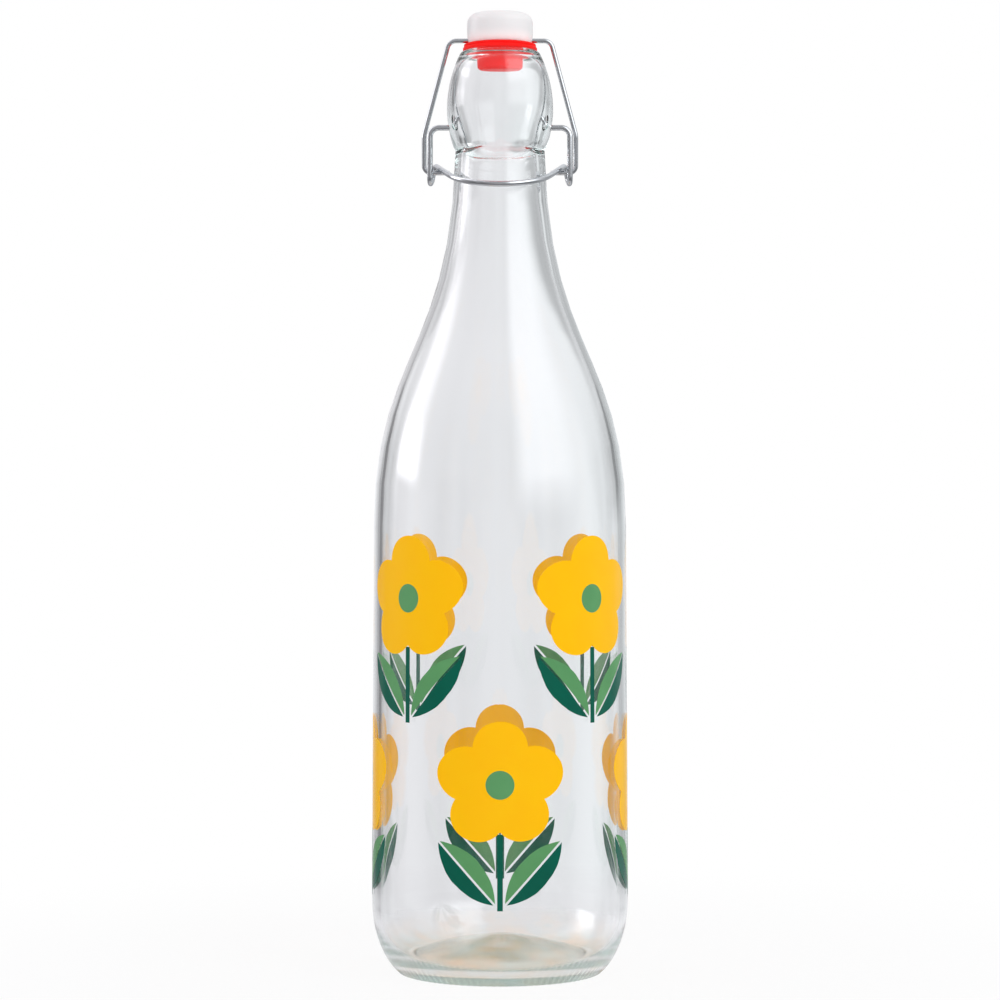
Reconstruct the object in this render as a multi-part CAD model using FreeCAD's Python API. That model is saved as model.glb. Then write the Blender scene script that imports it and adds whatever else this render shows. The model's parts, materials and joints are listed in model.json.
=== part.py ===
import FreeCAD, Part
import math
import os

# Swing top bottle, one litre, closed.
# Millimetres, +Z up, front at -Y. The origin is the middle of the bearing ring, on the table plane.

# Glass bottle: outside
RING_INSET = 8.9
RING_WIDTH = 3.9
PUSH_UP_HEIGHT = 7.8
HEEL_HEIGHT = 23.3
HEEL_FOOT_ANGLE = 39.4
HEEL_FOOT_HANDLE = 6.7
HEEL_HANDLE = 10.0
BODY_BOTTOM_R = 42.3
BODY_TAPER = 0.55
BODY_HEIGHT = 123.6
SHOULDER_HEIGHT = 124.5
SHOULDER_HANDLE = 58.5
NECK_HANDLE = 67.5
NECK_FLARE = 1.4
NECK_R = 14.8
FINISH_JOINT_HEIGHT = 1.6
FINISH_JOINT_HANDLE = 0.7
FINISH_FOOT_R = 15.5
FINISH_LOWER_HEIGHT = 12.2
FINISH_MAX_R = 17.6
FINISH_UPPER_HEIGHT = 19.4
FINISH_TOP_R = 12.85
RIM_OUTER_FILLET = 1.9
RIM_INNER_FILLET = 1.1
RING_FILLET = 0.8

# Glass bottle: inside
BODY_WALL = 2.7
FLOOR_THICKNESS = 4.4
FLOOR_EDGE_Z = 4.4
FLOOR_INSET = 1.5
FLOOR_HANDLE = 4.0
INNER_HEEL_HEIGHT = 22.0
INNER_HEEL_HANDLE = 13.5
NECK_WALL = 2.75
NECK_BORE_DROP = 1.4
NECK_BORE_FLARE = 1.7
NECK_BORE_HANDLE = 62.0
CHOKE_R = 10.4
CHOKE_TOP_HANDLE = 3.0
CHOKE_HANDLE = 0.9
CAVITY_WALL = 3.0
CAVITY_RISE = 17.0
CAVITY_HANDLE = 6.8
CAVITY_LOW_HANDLE = 8.5
MOUTH_R = 9.9
MOUTH_DEPTH = 1.6
MOUTH_FLARE_WIDTH = 2.2
MOUTH_FLARE_DROP = 3.6
MOUTH_FOOT_FILLET = 1.0

# Dimples in the sides of the finish, which take the tips of the lever
PIVOT_RISE = 6.4
DIMPLE_DEPTH = 2.6
DIMPLE_MOUTH_R = 2.5
DIMPLE_CONE_DEPTH = 1.5
PIVOT_CLEARANCE = 0.08
TIP_GAP = 0.35

# Lever wire
LEVER_WIRE_R = 0.95
LEVER_LEG_X = 23.2
LEVER_BEND_R = 3.0
LEVER_ARM = 14.8
EYE_PITCH = 1.5
EYE_FOOT_PITCH = 0.3
EYE_SIDE_GAP = 0.27
EYE_DEPTH = 3.45
EYE_TOP_BEND_R = 1.6
HOOP_TILT = 20.0
HOOP_REACH = 19.4
HOOP_NOSE_R = 17.6
TAIL_CLEARANCE = 0.12

# Bail wire
BAIL_WIRE_R = 0.78
BAIL_LEG_GAP = 0.25
BAIL_TAIL_LENGTH = 8.4
BAIL_TAIL_BEND_R = 2.4
BAIL_KINK_RISE = 12.4
BAIL_KINK_BEND_R = 9.0
BAIL_SHOULDER_X = 16.8
BAIL_SHOULDER_BEND_R = 3.0

# Gasket
SEAT_GAP = 0.2
FLANGE_R = 12.3
FLANGE_THICKNESS = 2.05
LOWER_LIP_THICKNESS = 0.9
LIP_GROOVE_HEIGHT = 0.5
LIP_GROOVE_DEPTH = 0.5
UPPER_LIP_SET_BACK = 0.35
SEAL_R = 9.0
SEAL_DEPTH = 0.5
SEAL_CONE_DEPTH = 0.8
PLUG_TOP_R = 7.7
PLUG_TIP_R = 7.4
PLUG_DEPTH = 7.5
PLUG_TIP_FILLET = 1.6
STEM_FIT = 0.05

# Stopper head
HEAD_R = 10.9
HEAD_FOOT_R = 10.35
HEAD_WAIST_HEIGHT = 4.5
HEAD_HEIGHT = 10.6
HEAD_EDGE_R = 3.4
HEAD_DOME = 0.7
CROSSBAR_RISE = 1.35
CROSSBAR_CLEARANCE = 0.08
STEM_R = 4.4
STEM_LENGTH = 6.0
BARB_R = 5.1
BARB_DROP = 2.8
BARB_SLOPE = 0.8
BARB_LAND = 0.8
STEM_TIP_R = 3.6

# Fired-on print, in three colours: rows of flowers, each on a stem with two leaves
INK_GAP = 0.02
INK_THICKNESS = 0.12
PRINT_COLUMNS = 4
PRINT_ROW_PITCH = 59.0
PETALS = 5
PETAL_R = 8.8
PETAL_REACH = 11.6
FLOWER_EYE_R = 4.6
FLOWER_EYE_GAP = 0.8
FLOWER_STEM_WIDTH = 1.8
FLOWER_STEM_GAP = 0.7
LEAF_DROP = 40.0
LEAF_START = 2.4
LEAF_LENGTH = 27.0
LEAF_WIDTH = 10.5
LEAF_RISE_ANGLE = 48.0
LEAF_VEIN_GAP = 0.7
PRISM_MARGIN = 5.0

# How near a turned edge lies to the radius and height that name it
EDGE_MATCH = 1e-4

# Heights and places that follow from the sizes above
BODY_TOP_R = BODY_BOTTOM_R - BODY_TAPER
RING_OUTER_R = BODY_BOTTOM_R - RING_INSET
RING_INNER_R = RING_OUTER_R - RING_WIDTH
FLOOR_R = RING_INNER_R - FLOOR_INSET
BODY_TOP_Z = HEEL_HEIGHT + BODY_HEIGHT
NECK_TOP_Z = BODY_TOP_Z + SHOULDER_HEIGHT
FINISH_FOOT_Z = NECK_TOP_Z + FINISH_JOINT_HEIGHT
FINISH_MAX_Z = FINISH_FOOT_Z + FINISH_LOWER_HEIGHT
RIM_Z = FINISH_MAX_Z + FINISH_UPPER_HEIGHT
NECK_BORE_R = NECK_R - NECK_WALL
NECK_BORE_Z = NECK_TOP_Z - NECK_BORE_DROP
CAVITY_Z = FINISH_FOOT_Z + CAVITY_RISE
MOUTH_FOOT_Z = RIM_Z - MOUTH_DEPTH
PIVOT_Z = FINISH_FOOT_Z + PIVOT_RISE
SEAT_Z = RIM_Z + SEAT_GAP
HEAD_FOOT_Z = SEAT_Z + FLANGE_THICKNESS
CROSSBAR_Z = HEAD_FOOT_Z + CROSSBAR_RISE
TAIL_Z = PIVOT_Z - LEVER_ARM
EYE_HALF_WIDTH = LEVER_WIRE_R + BAIL_WIRE_R + EYE_SIDE_GAP
TAIL_Y = EYE_HALF_WIDTH
BAIL_LEG_X = LEVER_LEG_X + LEVER_WIRE_R + BAIL_LEG_GAP + BAIL_WIRE_R


def vector(x, y, z):
    return FreeCAD.Vector(x, y, z)


def section_point(r, z):
    return vector(r, 0.0, z)


def line(start, end):
    return Part.LineSegment(start, end).toShape()


def bezier(*points):
    curve = Part.BezierCurve()
    curve.setPoles(list(points))
    return curve.toShape()


def bulge_radius(end_r, end_z, max_r, max_z):
    """Radius of the arc that stands upright at its widest point and passes through its end."""
    height = end_z - max_z
    depth = max_r - end_r
    return (height ** 2 + depth ** 2) / (2.0 * depth)


def bulge_r_at(z, end_r, end_z, max_r, max_z):
    radius = bulge_radius(end_r, end_z, max_r, max_z)
    return max_r - radius + math.sqrt(radius ** 2 - (z - max_z) ** 2)


def bulge_arc(end_r, end_z, max_r, max_z):
    middle_z = (end_z + max_z) / 2.0
    middle_r = bulge_r_at(middle_z, end_r, end_z, max_r, max_z)
    end = section_point(end_r, end_z)
    middle = section_point(middle_r, middle_z)
    top = section_point(max_r, max_z)
    return Part.Arc(end, middle, top).toShape()


def cap_arc(centre_z, edge_r, edge_z):
    """Arc from the axis to an edge, level where it leaves the axis."""
    rise = edge_z - centre_z
    radius = (edge_r ** 2 + rise ** 2) / (2.0 * abs(rise))
    half_r = edge_r / 2.0
    sag = radius - math.sqrt(radius ** 2 - half_r ** 2)
    half_z = centre_z + math.copysign(sag, rise)
    start = section_point(0.0, centre_z)
    middle = section_point(half_r, half_z)
    end = section_point(edge_r, edge_z)
    return Part.Arc(start, middle, end).toShape()


def revolve(edges):
    wire = Part.Wire(Part.__sortEdges__(edges))
    return Part.Face(wire).revolve(vector(0, 0, 0), vector(0, 0, 1), 360.0)


def round_edges(shape, r, z, fillet):
    """Fillet the circular edges of a turned solid that have this radius and height."""
    edges = []
    for edge in shape.Edges:
        if edge.Degenerated or not isinstance(edge.Curve, Part.Circle):
            continue
        circle = edge.Curve
        if abs(circle.Radius - r) < EDGE_MATCH and abs(circle.Center.z - z) < EDGE_MATCH:
            edges.append(edge)
    return shape.makeFillet(fillet, edges)


def bent_wire_path(corners, bend_radii):
    """Straight runs joined by tangent arcs, one bend radius for each inner corner."""
    edges = []
    start = corners[0]
    for index, bend_r in enumerate(bend_radii, 1):
        corner = corners[index]
        incoming = (corner - corners[index - 1]).normalize()
        outgoing = (corners[index + 1] - corner).normalize()
        half_turn = incoming.getAngle(outgoing) / 2.0
        set_back = bend_r * math.tan(half_turn)
        arc_start = corner - incoming * set_back
        arc_end = corner + outgoing * set_back
        inward = (outgoing - incoming).normalize()
        arc_middle = corner + inward * (bend_r / math.cos(half_turn) - bend_r)
        edges.append(line(start, arc_start))
        edges.append(Part.Arc(arc_start, arc_middle, arc_end).toShape())
        start = arc_end
    edges.append(line(start, corners[-1]))
    return Part.Wire(edges)


def round_wire(corners, bend_radii, wire_r):
    path = bent_wire_path(corners, bend_radii)
    direction = corners[1] - corners[0]
    section = Part.Wire([Part.makeCircle(wire_r, corners[0], direction)])
    return path.makePipeShell([section], True, False)


def mirrored(corners):
    """One half of a wire's corners, followed by the other half seen in a mirror."""
    other = [vector(-corner.x, corner.y, corner.z) for corner in reversed(corners)]
    return corners, other


# Glass bottle: a turned solid, from the middle of the base outward, up, over the rim and down inside
push_up = cap_arc(PUSH_UP_HEIGHT, RING_INNER_R, 0.0)
bearing_ring = line(section_point(RING_INNER_R, 0.0), section_point(RING_OUTER_R, 0.0))
heel_foot_angle = math.radians(HEEL_FOOT_ANGLE)
heel_foot_r = RING_OUTER_R + HEEL_FOOT_HANDLE * math.cos(heel_foot_angle)
heel = bezier(
    section_point(RING_OUTER_R, 0.0),
    section_point(heel_foot_r, HEEL_FOOT_HANDLE * math.sin(heel_foot_angle)),
    section_point(BODY_BOTTOM_R, HEEL_HEIGHT - HEEL_HANDLE),
    section_point(BODY_BOTTOM_R, HEEL_HEIGHT),
)
body_wall = line(section_point(BODY_BOTTOM_R, HEEL_HEIGHT), section_point(BODY_TOP_R, BODY_TOP_Z))
shoulder = bezier(
    section_point(BODY_TOP_R, BODY_TOP_Z),
    section_point(BODY_TOP_R, BODY_TOP_Z + SHOULDER_HANDLE),
    section_point(NECK_R + NECK_FLARE, NECK_TOP_Z - NECK_HANDLE),
    section_point(NECK_R, NECK_TOP_Z),
)
# The neck flows into the bulge of the finish along the slope of the bulge's foot
finish_foot_slope = 2.0 * math.atan2(FINISH_MAX_R - FINISH_FOOT_R, FINISH_LOWER_HEIGHT)
joint_handle_r = FINISH_FOOT_R - FINISH_JOINT_HANDLE * math.sin(finish_foot_slope)
joint_handle_z = FINISH_FOOT_Z - FINISH_JOINT_HANDLE * math.cos(finish_foot_slope)
finish_joint = bezier(
    section_point(NECK_R, NECK_TOP_Z),
    section_point(NECK_R, NECK_TOP_Z + FINISH_JOINT_HANDLE),
    section_point(joint_handle_r, joint_handle_z),
    section_point(FINISH_FOOT_R, FINISH_FOOT_Z),
)
finish_lower = bulge_arc(FINISH_FOOT_R, FINISH_FOOT_Z, FINISH_MAX_R, FINISH_MAX_Z)
finish_upper = bulge_arc(FINISH_TOP_R, RIM_Z, FINISH_MAX_R, FINISH_MAX_Z)
rim = line(section_point(FINISH_TOP_R, RIM_Z), section_point(MOUTH_R, RIM_Z))
mouth = line(section_point(MOUTH_R, RIM_Z), section_point(MOUTH_R, MOUTH_FOOT_Z))
# The cavity of the finish flares below the mouth, bulges with the glass, and ends in a ridge at its foot
cavity_r = bulge_r_at(CAVITY_Z, FINISH_TOP_R, RIM_Z, FINISH_MAX_R, FINISH_MAX_Z) - CAVITY_WALL
cavity_upper = bezier(
    section_point(MOUTH_R, MOUTH_FOOT_Z),
    section_point(MOUTH_R + MOUTH_FLARE_WIDTH, MOUTH_FOOT_Z - MOUTH_FLARE_DROP),
    section_point(cavity_r, CAVITY_Z + CAVITY_HANDLE),
    section_point(cavity_r, CAVITY_Z),
)
cavity_lower = bezier(
    section_point(cavity_r, CAVITY_Z),
    section_point(cavity_r, CAVITY_Z - CAVITY_LOW_HANDLE),
    section_point(CHOKE_R, FINISH_FOOT_Z + CHOKE_TOP_HANDLE),
    section_point(CHOKE_R, FINISH_FOOT_Z),
)
choke = bezier(
    section_point(CHOKE_R, FINISH_FOOT_Z),
    section_point(CHOKE_R, FINISH_FOOT_Z - CHOKE_HANDLE),
    section_point(NECK_BORE_R, NECK_BORE_Z + CHOKE_HANDLE),
    section_point(NECK_BORE_R, NECK_BORE_Z),
)
inner_shoulder = bezier(
    section_point(NECK_BORE_R, NECK_BORE_Z),
    section_point(NECK_BORE_R + NECK_BORE_FLARE, NECK_BORE_Z - NECK_BORE_HANDLE),
    section_point(BODY_TOP_R - BODY_WALL, BODY_TOP_Z + SHOULDER_HANDLE),
    section_point(BODY_TOP_R - BODY_WALL, BODY_TOP_Z),
)
inner_wall = line(
    section_point(BODY_TOP_R - BODY_WALL, BODY_TOP_Z),
    section_point(BODY_BOTTOM_R - BODY_WALL, INNER_HEEL_HEIGHT),
)
floor_centre_z = PUSH_UP_HEIGHT + FLOOR_THICKNESS
# The heel runs on from the domed floor along the slope of the dome's edge
floor_slope = 2.0 * math.atan2(floor_centre_z - FLOOR_EDGE_Z, FLOOR_R)
floor_handle_r = FLOOR_R + FLOOR_HANDLE * math.cos(floor_slope)
floor_handle_z = FLOOR_EDGE_Z - FLOOR_HANDLE * math.sin(floor_slope)
inner_heel = bezier(
    section_point(BODY_BOTTOM_R - BODY_WALL, INNER_HEEL_HEIGHT),
    section_point(BODY_BOTTOM_R - BODY_WALL, INNER_HEEL_HEIGHT - INNER_HEEL_HANDLE),
    section_point(floor_handle_r, floor_handle_z),
    section_point(FLOOR_R, FLOOR_EDGE_Z),
)
inner_floor = cap_arc(floor_centre_z, FLOOR_R, FLOOR_EDGE_Z)
axis_edge = line(section_point(0.0, PUSH_UP_HEIGHT), section_point(0.0, floor_centre_z))
bottle = revolve([
    push_up, bearing_ring, heel, body_wall, shoulder, finish_joint, finish_lower, finish_upper, rim,
    mouth, cavity_upper, cavity_lower, choke, inner_shoulder, inner_wall, inner_heel, inner_floor,
    axis_edge,
])
bottle = round_edges(bottle, FINISH_TOP_R, RIM_Z, RIM_OUTER_FILLET)
bottle = round_edges(bottle, MOUTH_R, RIM_Z, RIM_INNER_FILLET)
bottle = round_edges(bottle, MOUTH_R, MOUTH_FOOT_Z, MOUTH_FOOT_FILLET)
bottle = round_edges(bottle, RING_INNER_R, 0.0, RING_FILLET)
bottle = round_edges(bottle, RING_OUTER_R, 0.0, RING_FILLET)

# Dimples: a blind pivot hole with a flared mouth in each side of the finish
pivot_surface_x = bulge_r_at(PIVOT_Z, FINISH_FOOT_R, FINISH_FOOT_Z, FINISH_MAX_R, FINISH_MAX_Z)
pivot_hole_r = LEVER_WIRE_R + PIVOT_CLEARANCE
dimple_floor_x = pivot_surface_x - DIMPLE_DEPTH
for side in (-1, 1):
    outward = vector(side, 0, 0)
    floor_point = vector(side * dimple_floor_x, 0, PIVOT_Z)
    pivot_hole = Part.makeCylinder(pivot_hole_r, 2.0 * DIMPLE_DEPTH, floor_point, outward)
    cone_floor = vector(side * (pivot_surface_x - DIMPLE_CONE_DEPTH), 0, PIVOT_Z)
    # The cone is cut at twice its depth, so that it leaves the curved glass at the mouth's radius
    flared_r = pivot_hole_r + 2.0 * (DIMPLE_MOUTH_R - pivot_hole_r)
    flared_mouth = Part.makeCone(pivot_hole_r, flared_r, 2.0 * DIMPLE_CONE_DEPTH, cone_floor, outward)
    bottle = bottle.cut(pivot_hole)
    bottle = bottle.cut(flared_mouth)

# Lever wire: pivot tip, leg, eye, and the hoop round the front of the neck
tilt = math.radians(HOOP_TILT)
eye_back_y = 2.0 * EYE_HALF_WIDTH
eye_arm_x = LEVER_LEG_X - EYE_PITCH
# The hoop's straight arms touch the circle of its nose, in the hoop's own tilted plane
nose_centre_w = (eye_back_y + HOOP_REACH) / math.cos(tilt) - HOOP_NOSE_R
arm_to_centre = math.hypot(eye_arm_x, nose_centre_w)
arm_turn = math.atan2(eye_arm_x, nose_centre_w) - math.asin(HOOP_NOSE_R / arm_to_centre)
hoop_vertex_w = eye_arm_x / math.tan(arm_turn)
# The arm crosses over the tail of the bail, which hangs from it in the eye
arm_direction = vector(
    math.sin(arm_turn), -math.cos(arm_turn) * math.cos(tilt), -math.cos(arm_turn) * math.sin(tilt)
)
tail_normal_drop = (LEVER_WIRE_R + BAIL_WIRE_R + TAIL_CLEARANCE) * math.hypot(
    arm_direction.y, arm_direction.z
) / abs(arm_direction.y)
eye_top_z = TAIL_Z + tail_normal_drop + (eye_back_y - TAIL_Y) * math.tan(tilt)
eye_bottom_z = TAIL_Z - EYE_DEPTH
lever_tip_x = dimple_floor_x + TIP_GAP
lever_half, lever_other_half = mirrored([
    vector(-lever_tip_x, 0, PIVOT_Z),
    vector(-LEVER_LEG_X, 0, PIVOT_Z),
    vector(-LEVER_LEG_X, 0, eye_bottom_z),
    vector(-LEVER_LEG_X + EYE_FOOT_PITCH, eye_back_y, eye_bottom_z),
    vector(-eye_arm_x, eye_back_y, eye_top_z),
])
hoop_vertex = vector(
    0, eye_back_y - hoop_vertex_w * math.cos(tilt), eye_top_z - hoop_vertex_w * math.sin(tilt)
)
lever_half_bends = [LEVER_BEND_R, EYE_HALF_WIDTH, EYE_HALF_WIDTH, EYE_TOP_BEND_R]
lever_wire = round_wire(
    lever_half + [hoop_vertex] + lever_other_half,
    lever_half_bends + [HOOP_NOSE_R] + lever_half_bends[::-1],
    LEVER_WIRE_R,
)

# Bail wire: tail, leg, kink and shoulder on each side, and the crossbar through the stopper head
bail_up = vector(0, -TAIL_Y, CROSSBAR_Z - TAIL_Z)
bail_length = bail_up.Length
bail_up = bail_up.normalize()
tail_centre = vector(0, TAIL_Y, TAIL_Z)


def bail_point(x, rise):
    return tail_centre + vector(x, 0, 0) + bail_up * rise


bail_half, bail_other_half = mirrored([
    bail_point(BAIL_TAIL_LENGTH - BAIL_LEG_X, 0.0),
    bail_point(-BAIL_LEG_X, 0.0),
    bail_point(-BAIL_LEG_X, BAIL_KINK_RISE),
    bail_point(-BAIL_SHOULDER_X, bail_length),
])
bail_half_bends = [BAIL_TAIL_BEND_R, BAIL_KINK_BEND_R, BAIL_SHOULDER_BEND_R]
bail_wire = round_wire(
    bail_half + bail_other_half, bail_half_bends + bail_half_bends[::-1], BAIL_WIRE_R
)

# Stopper head: a domed cap with a cross hole for the bail, and a barbed stem that holds the gasket
head_top_z = HEAD_FOOT_Z + HEAD_HEIGHT
head_edge_z = head_top_z - HEAD_DOME
barb_top_z = HEAD_FOOT_Z - BARB_DROP
stem_tip_z = HEAD_FOOT_Z - STEM_LENGTH


def stem_edges(offset, root_z):
    """Outline of the barbed stem, or of the socket round it, from the axis up to its root."""
    corners = [
        section_point(0.0, stem_tip_z - offset),
        section_point(STEM_TIP_R + offset, stem_tip_z - offset),
        section_point(BARB_R + offset, barb_top_z - BARB_SLOPE - BARB_LAND - offset),
        section_point(BARB_R + offset, barb_top_z - BARB_SLOPE + offset),
        section_point(STEM_R + offset, barb_top_z + offset),
        section_point(STEM_R + offset, root_z),
    ]
    return [line(start, end) for start, end in zip(corners, corners[1:])]


head_waist_z = HEAD_FOOT_Z + HEAD_WAIST_HEIGHT
head_outline = [
    line(section_point(STEM_R, HEAD_FOOT_Z), section_point(HEAD_FOOT_R, HEAD_FOOT_Z)),
    bulge_arc(HEAD_FOOT_R, HEAD_FOOT_Z, HEAD_R, head_waist_z),
    line(section_point(HEAD_R, head_waist_z), section_point(HEAD_R, head_edge_z)),
    cap_arc(head_top_z, HEAD_R, head_edge_z),
    line(section_point(0.0, head_top_z), section_point(0.0, stem_tip_z)),
]
stopper_head = revolve(stem_edges(0.0, HEAD_FOOT_Z) + head_outline)
stopper_head = round_edges(stopper_head, HEAD_R, head_edge_z, HEAD_EDGE_R)
cross_hole_r = BAIL_WIRE_R + CROSSBAR_CLEARANCE
cross_hole_start = vector(-2.0 * HEAD_R, 0, CROSSBAR_Z)
cross_hole = Part.makeCylinder(cross_hole_r, 4.0 * HEAD_R, cross_hole_start, vector(1, 0, 0))
stopper_head = stopper_head.cut(cross_hole)

# Gasket: a double-lipped flange on the rim, a seal and a plug in the mouth, and a socket for the stem
plug_tip_z = SEAT_Z - PLUG_DEPTH
groove_z = SEAT_Z + LOWER_LIP_THICKNESS
groove_top_z = groove_z + LIP_GROOVE_HEIGHT
upper_lip_r = FLANGE_R - UPPER_LIP_SET_BACK
gasket_corners = [
    section_point(0.0, plug_tip_z),
    section_point(PLUG_TIP_R, plug_tip_z),
    section_point(PLUG_TOP_R, SEAT_Z - SEAL_DEPTH - SEAL_CONE_DEPTH),
    section_point(SEAL_R, SEAT_Z - SEAL_DEPTH),
    section_point(SEAL_R, SEAT_Z),
    section_point(FLANGE_R, SEAT_Z),
    section_point(FLANGE_R, groove_z),
    section_point(upper_lip_r - LIP_GROOVE_DEPTH, (groove_z + groove_top_z) / 2.0),
    section_point(upper_lip_r, groove_top_z),
    section_point(upper_lip_r, HEAD_FOOT_Z),
    section_point(STEM_R + STEM_FIT, HEAD_FOOT_Z),
]
gasket_outline = [line(start, end) for start, end in zip(gasket_corners, gasket_corners[1:])]
socket_floor_z = stem_tip_z - STEM_FIT
gasket_outline.append(line(section_point(0.0, socket_floor_z), section_point(0.0, plug_tip_z)))
gasket = revolve(gasket_outline + stem_edges(STEM_FIT, HEAD_FOOT_Z))
gasket = round_edges(gasket, PLUG_TIP_R, plug_tip_z, PLUG_TIP_FILLET)

# Print: a thin skin on the body, cut to the outlines of flowers, stems and leaves
ink_inner_r = BODY_BOTTOM_R + INK_GAP
ink_inner_top_r = BODY_TOP_R + INK_GAP
skin_corners = [
    section_point(ink_inner_r, HEEL_HEIGHT),
    section_point(ink_inner_r + INK_THICKNESS, HEEL_HEIGHT),
    section_point(ink_inner_top_r + INK_THICKNESS, BODY_TOP_Z),
    section_point(ink_inner_top_r, BODY_TOP_Z),
    section_point(ink_inner_r, HEEL_HEIGHT),
]
skin = revolve([line(start, end) for start, end in zip(skin_corners, skin_corners[1:])])
prism_length = ink_inner_r + INK_THICKNESS + PRISM_MARGIN
flower_r = PETAL_REACH + PETAL_R
print_centre_z = HEEL_HEIGHT + BODY_HEIGHT / 2.0
flower_rise = (LEAF_DROP - flower_r) / 2.0
row_heights = [
    print_centre_z + flower_rise + PRINT_ROW_PITCH / 2.0,
    print_centre_z + flower_rise - PRINT_ROW_PITCH / 2.0,
]


def round_prism(r, across, up):
    """A round prism from the bottle's axis out through its front, placed from the flower's middle."""
    return Part.makeCylinder(r, prism_length, vector(across, 0, up), vector(0, -1, 0))


def box_prism(width, height, left, bottom):
    return Part.makeBox(width, prism_length, height, vector(left, -prism_length, bottom))


def petal_angle(index):
    return math.radians(90.0 + 360.0 * index / PETALS)


def petals_prism():
    shape = round_prism(PETAL_REACH, 0.0, 0.0)
    for index in range(PETALS):
        across = PETAL_REACH * math.cos(petal_angle(index))
        up = PETAL_REACH * math.sin(petal_angle(index))
        shape = shape.fuse(round_prism(PETAL_R, across, up))
    return shape.removeSplitter().cut(round_prism(FLOWER_EYE_R + FLOWER_EYE_GAP, 0.0, 0.0))


def stem_prism():
    """A strip from the notch between the two lowest petals down to where the leaves spring."""
    half_angle = math.pi / PETALS
    half_across = PETAL_REACH * math.sin(half_angle)
    notch_drop = PETAL_REACH * math.cos(half_angle) + math.sqrt(PETAL_R ** 2 - half_across ** 2)
    stem_top = -notch_drop - FLOWER_STEM_GAP
    return box_prism(FLOWER_STEM_WIDTH, stem_top + LEAF_DROP, -FLOWER_STEM_WIDTH / 2.0, -LEAF_DROP)


def leaf_half_prism(angle, upper):
    """The upper or lower half of a leaf that rises from the foot of the stem at this angle."""
    half_width = LEAF_WIDTH / 2.0
    half_length = LEAF_LENGTH / 2.0
    arc_r = (half_length ** 2 + half_width ** 2) / (2.0 * half_width)
    along = LEAF_START + half_length
    blade = round_prism(arc_r, along, arc_r - half_width)
    blade = blade.common(round_prism(arc_r, along, half_width - arc_r))
    bottom = LEAF_VEIN_GAP / 2.0 if upper else -LEAF_VEIN_GAP / 2.0 - LEAF_WIDTH
    blade = blade.common(box_prism(LEAF_LENGTH, LEAF_WIDTH, LEAF_START, bottom))
    blade.rotate(vector(0, 0, 0), vector(0, -1, 0), angle)
    blade.translate(vector(0, 0, -LEAF_DROP))
    return blade


def printed(prisms):
    """Lay front-facing prisms on the body at every place of the pattern, every other row half a step on."""
    pieces = []
    for row, row_z in enumerate(row_heights):
        for column in range(PRINT_COLUMNS):
            turn = 360.0 * (column + 0.5 * (row + 1)) / PRINT_COLUMNS
            for prism in prisms:
                placed = prism.copy()
                placed.translate(vector(0, 0, row_z))
                placed.rotate(vector(0, 0, 0), vector(0, 0, 1), turn)
                pieces.extend(skin.common(placed).Solids)
    return Part.makeCompound(pieces)


left_leaf_angle = 180.0 - LEAF_RISE_ANGLE
lower_halves = [leaf_half_prism(LEAF_RISE_ANGLE, False), leaf_half_prism(left_leaf_angle, True)]
upper_halves = [leaf_half_prism(LEAF_RISE_ANGLE, True), leaf_half_prism(left_leaf_angle, False)]
print_yellow = printed([petals_prism()])
print_deep_green = printed([stem_prism()] + lower_halves)
print_light_green = printed([round_prism(FLOWER_EYE_R, 0.0, 0.0)] + upper_halves)

nodes = {
    "bottle": bottle,
    "lever_wire": lever_wire,
    "bail_wire": bail_wire,
    "stopper_head": stopper_head,
    "gasket": gasket,
    "print_yellow": print_yellow,
    "print_deep_green": print_deep_green,
    "print_light_green": print_light_green,
}
os.makedirs("parts", exist_ok=True)
for name, shape in nodes.items():
    shape.exportStep("parts/" + name + ".step")
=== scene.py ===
import json
from math import asin, atan2, cos, hypot, pi, radians, sin, sqrt, tan

import bmesh
import bpy
import numpy as np
from mathutils import Matrix, Vector


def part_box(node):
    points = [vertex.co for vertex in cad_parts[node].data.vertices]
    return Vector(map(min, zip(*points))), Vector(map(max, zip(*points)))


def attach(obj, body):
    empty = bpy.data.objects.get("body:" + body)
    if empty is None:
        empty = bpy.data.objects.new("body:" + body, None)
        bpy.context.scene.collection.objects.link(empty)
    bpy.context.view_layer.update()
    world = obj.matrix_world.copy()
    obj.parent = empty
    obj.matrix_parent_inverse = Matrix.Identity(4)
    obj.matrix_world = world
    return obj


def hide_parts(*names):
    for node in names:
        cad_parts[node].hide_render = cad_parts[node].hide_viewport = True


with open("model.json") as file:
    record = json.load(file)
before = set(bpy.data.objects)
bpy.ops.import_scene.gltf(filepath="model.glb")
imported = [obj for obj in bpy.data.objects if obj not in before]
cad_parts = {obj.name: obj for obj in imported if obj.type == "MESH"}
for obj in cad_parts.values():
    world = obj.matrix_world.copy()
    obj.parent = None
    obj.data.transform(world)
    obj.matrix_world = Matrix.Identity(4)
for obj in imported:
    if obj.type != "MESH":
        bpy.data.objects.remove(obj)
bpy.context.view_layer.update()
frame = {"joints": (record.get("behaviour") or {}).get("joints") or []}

scene = bpy.context.scene


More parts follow.
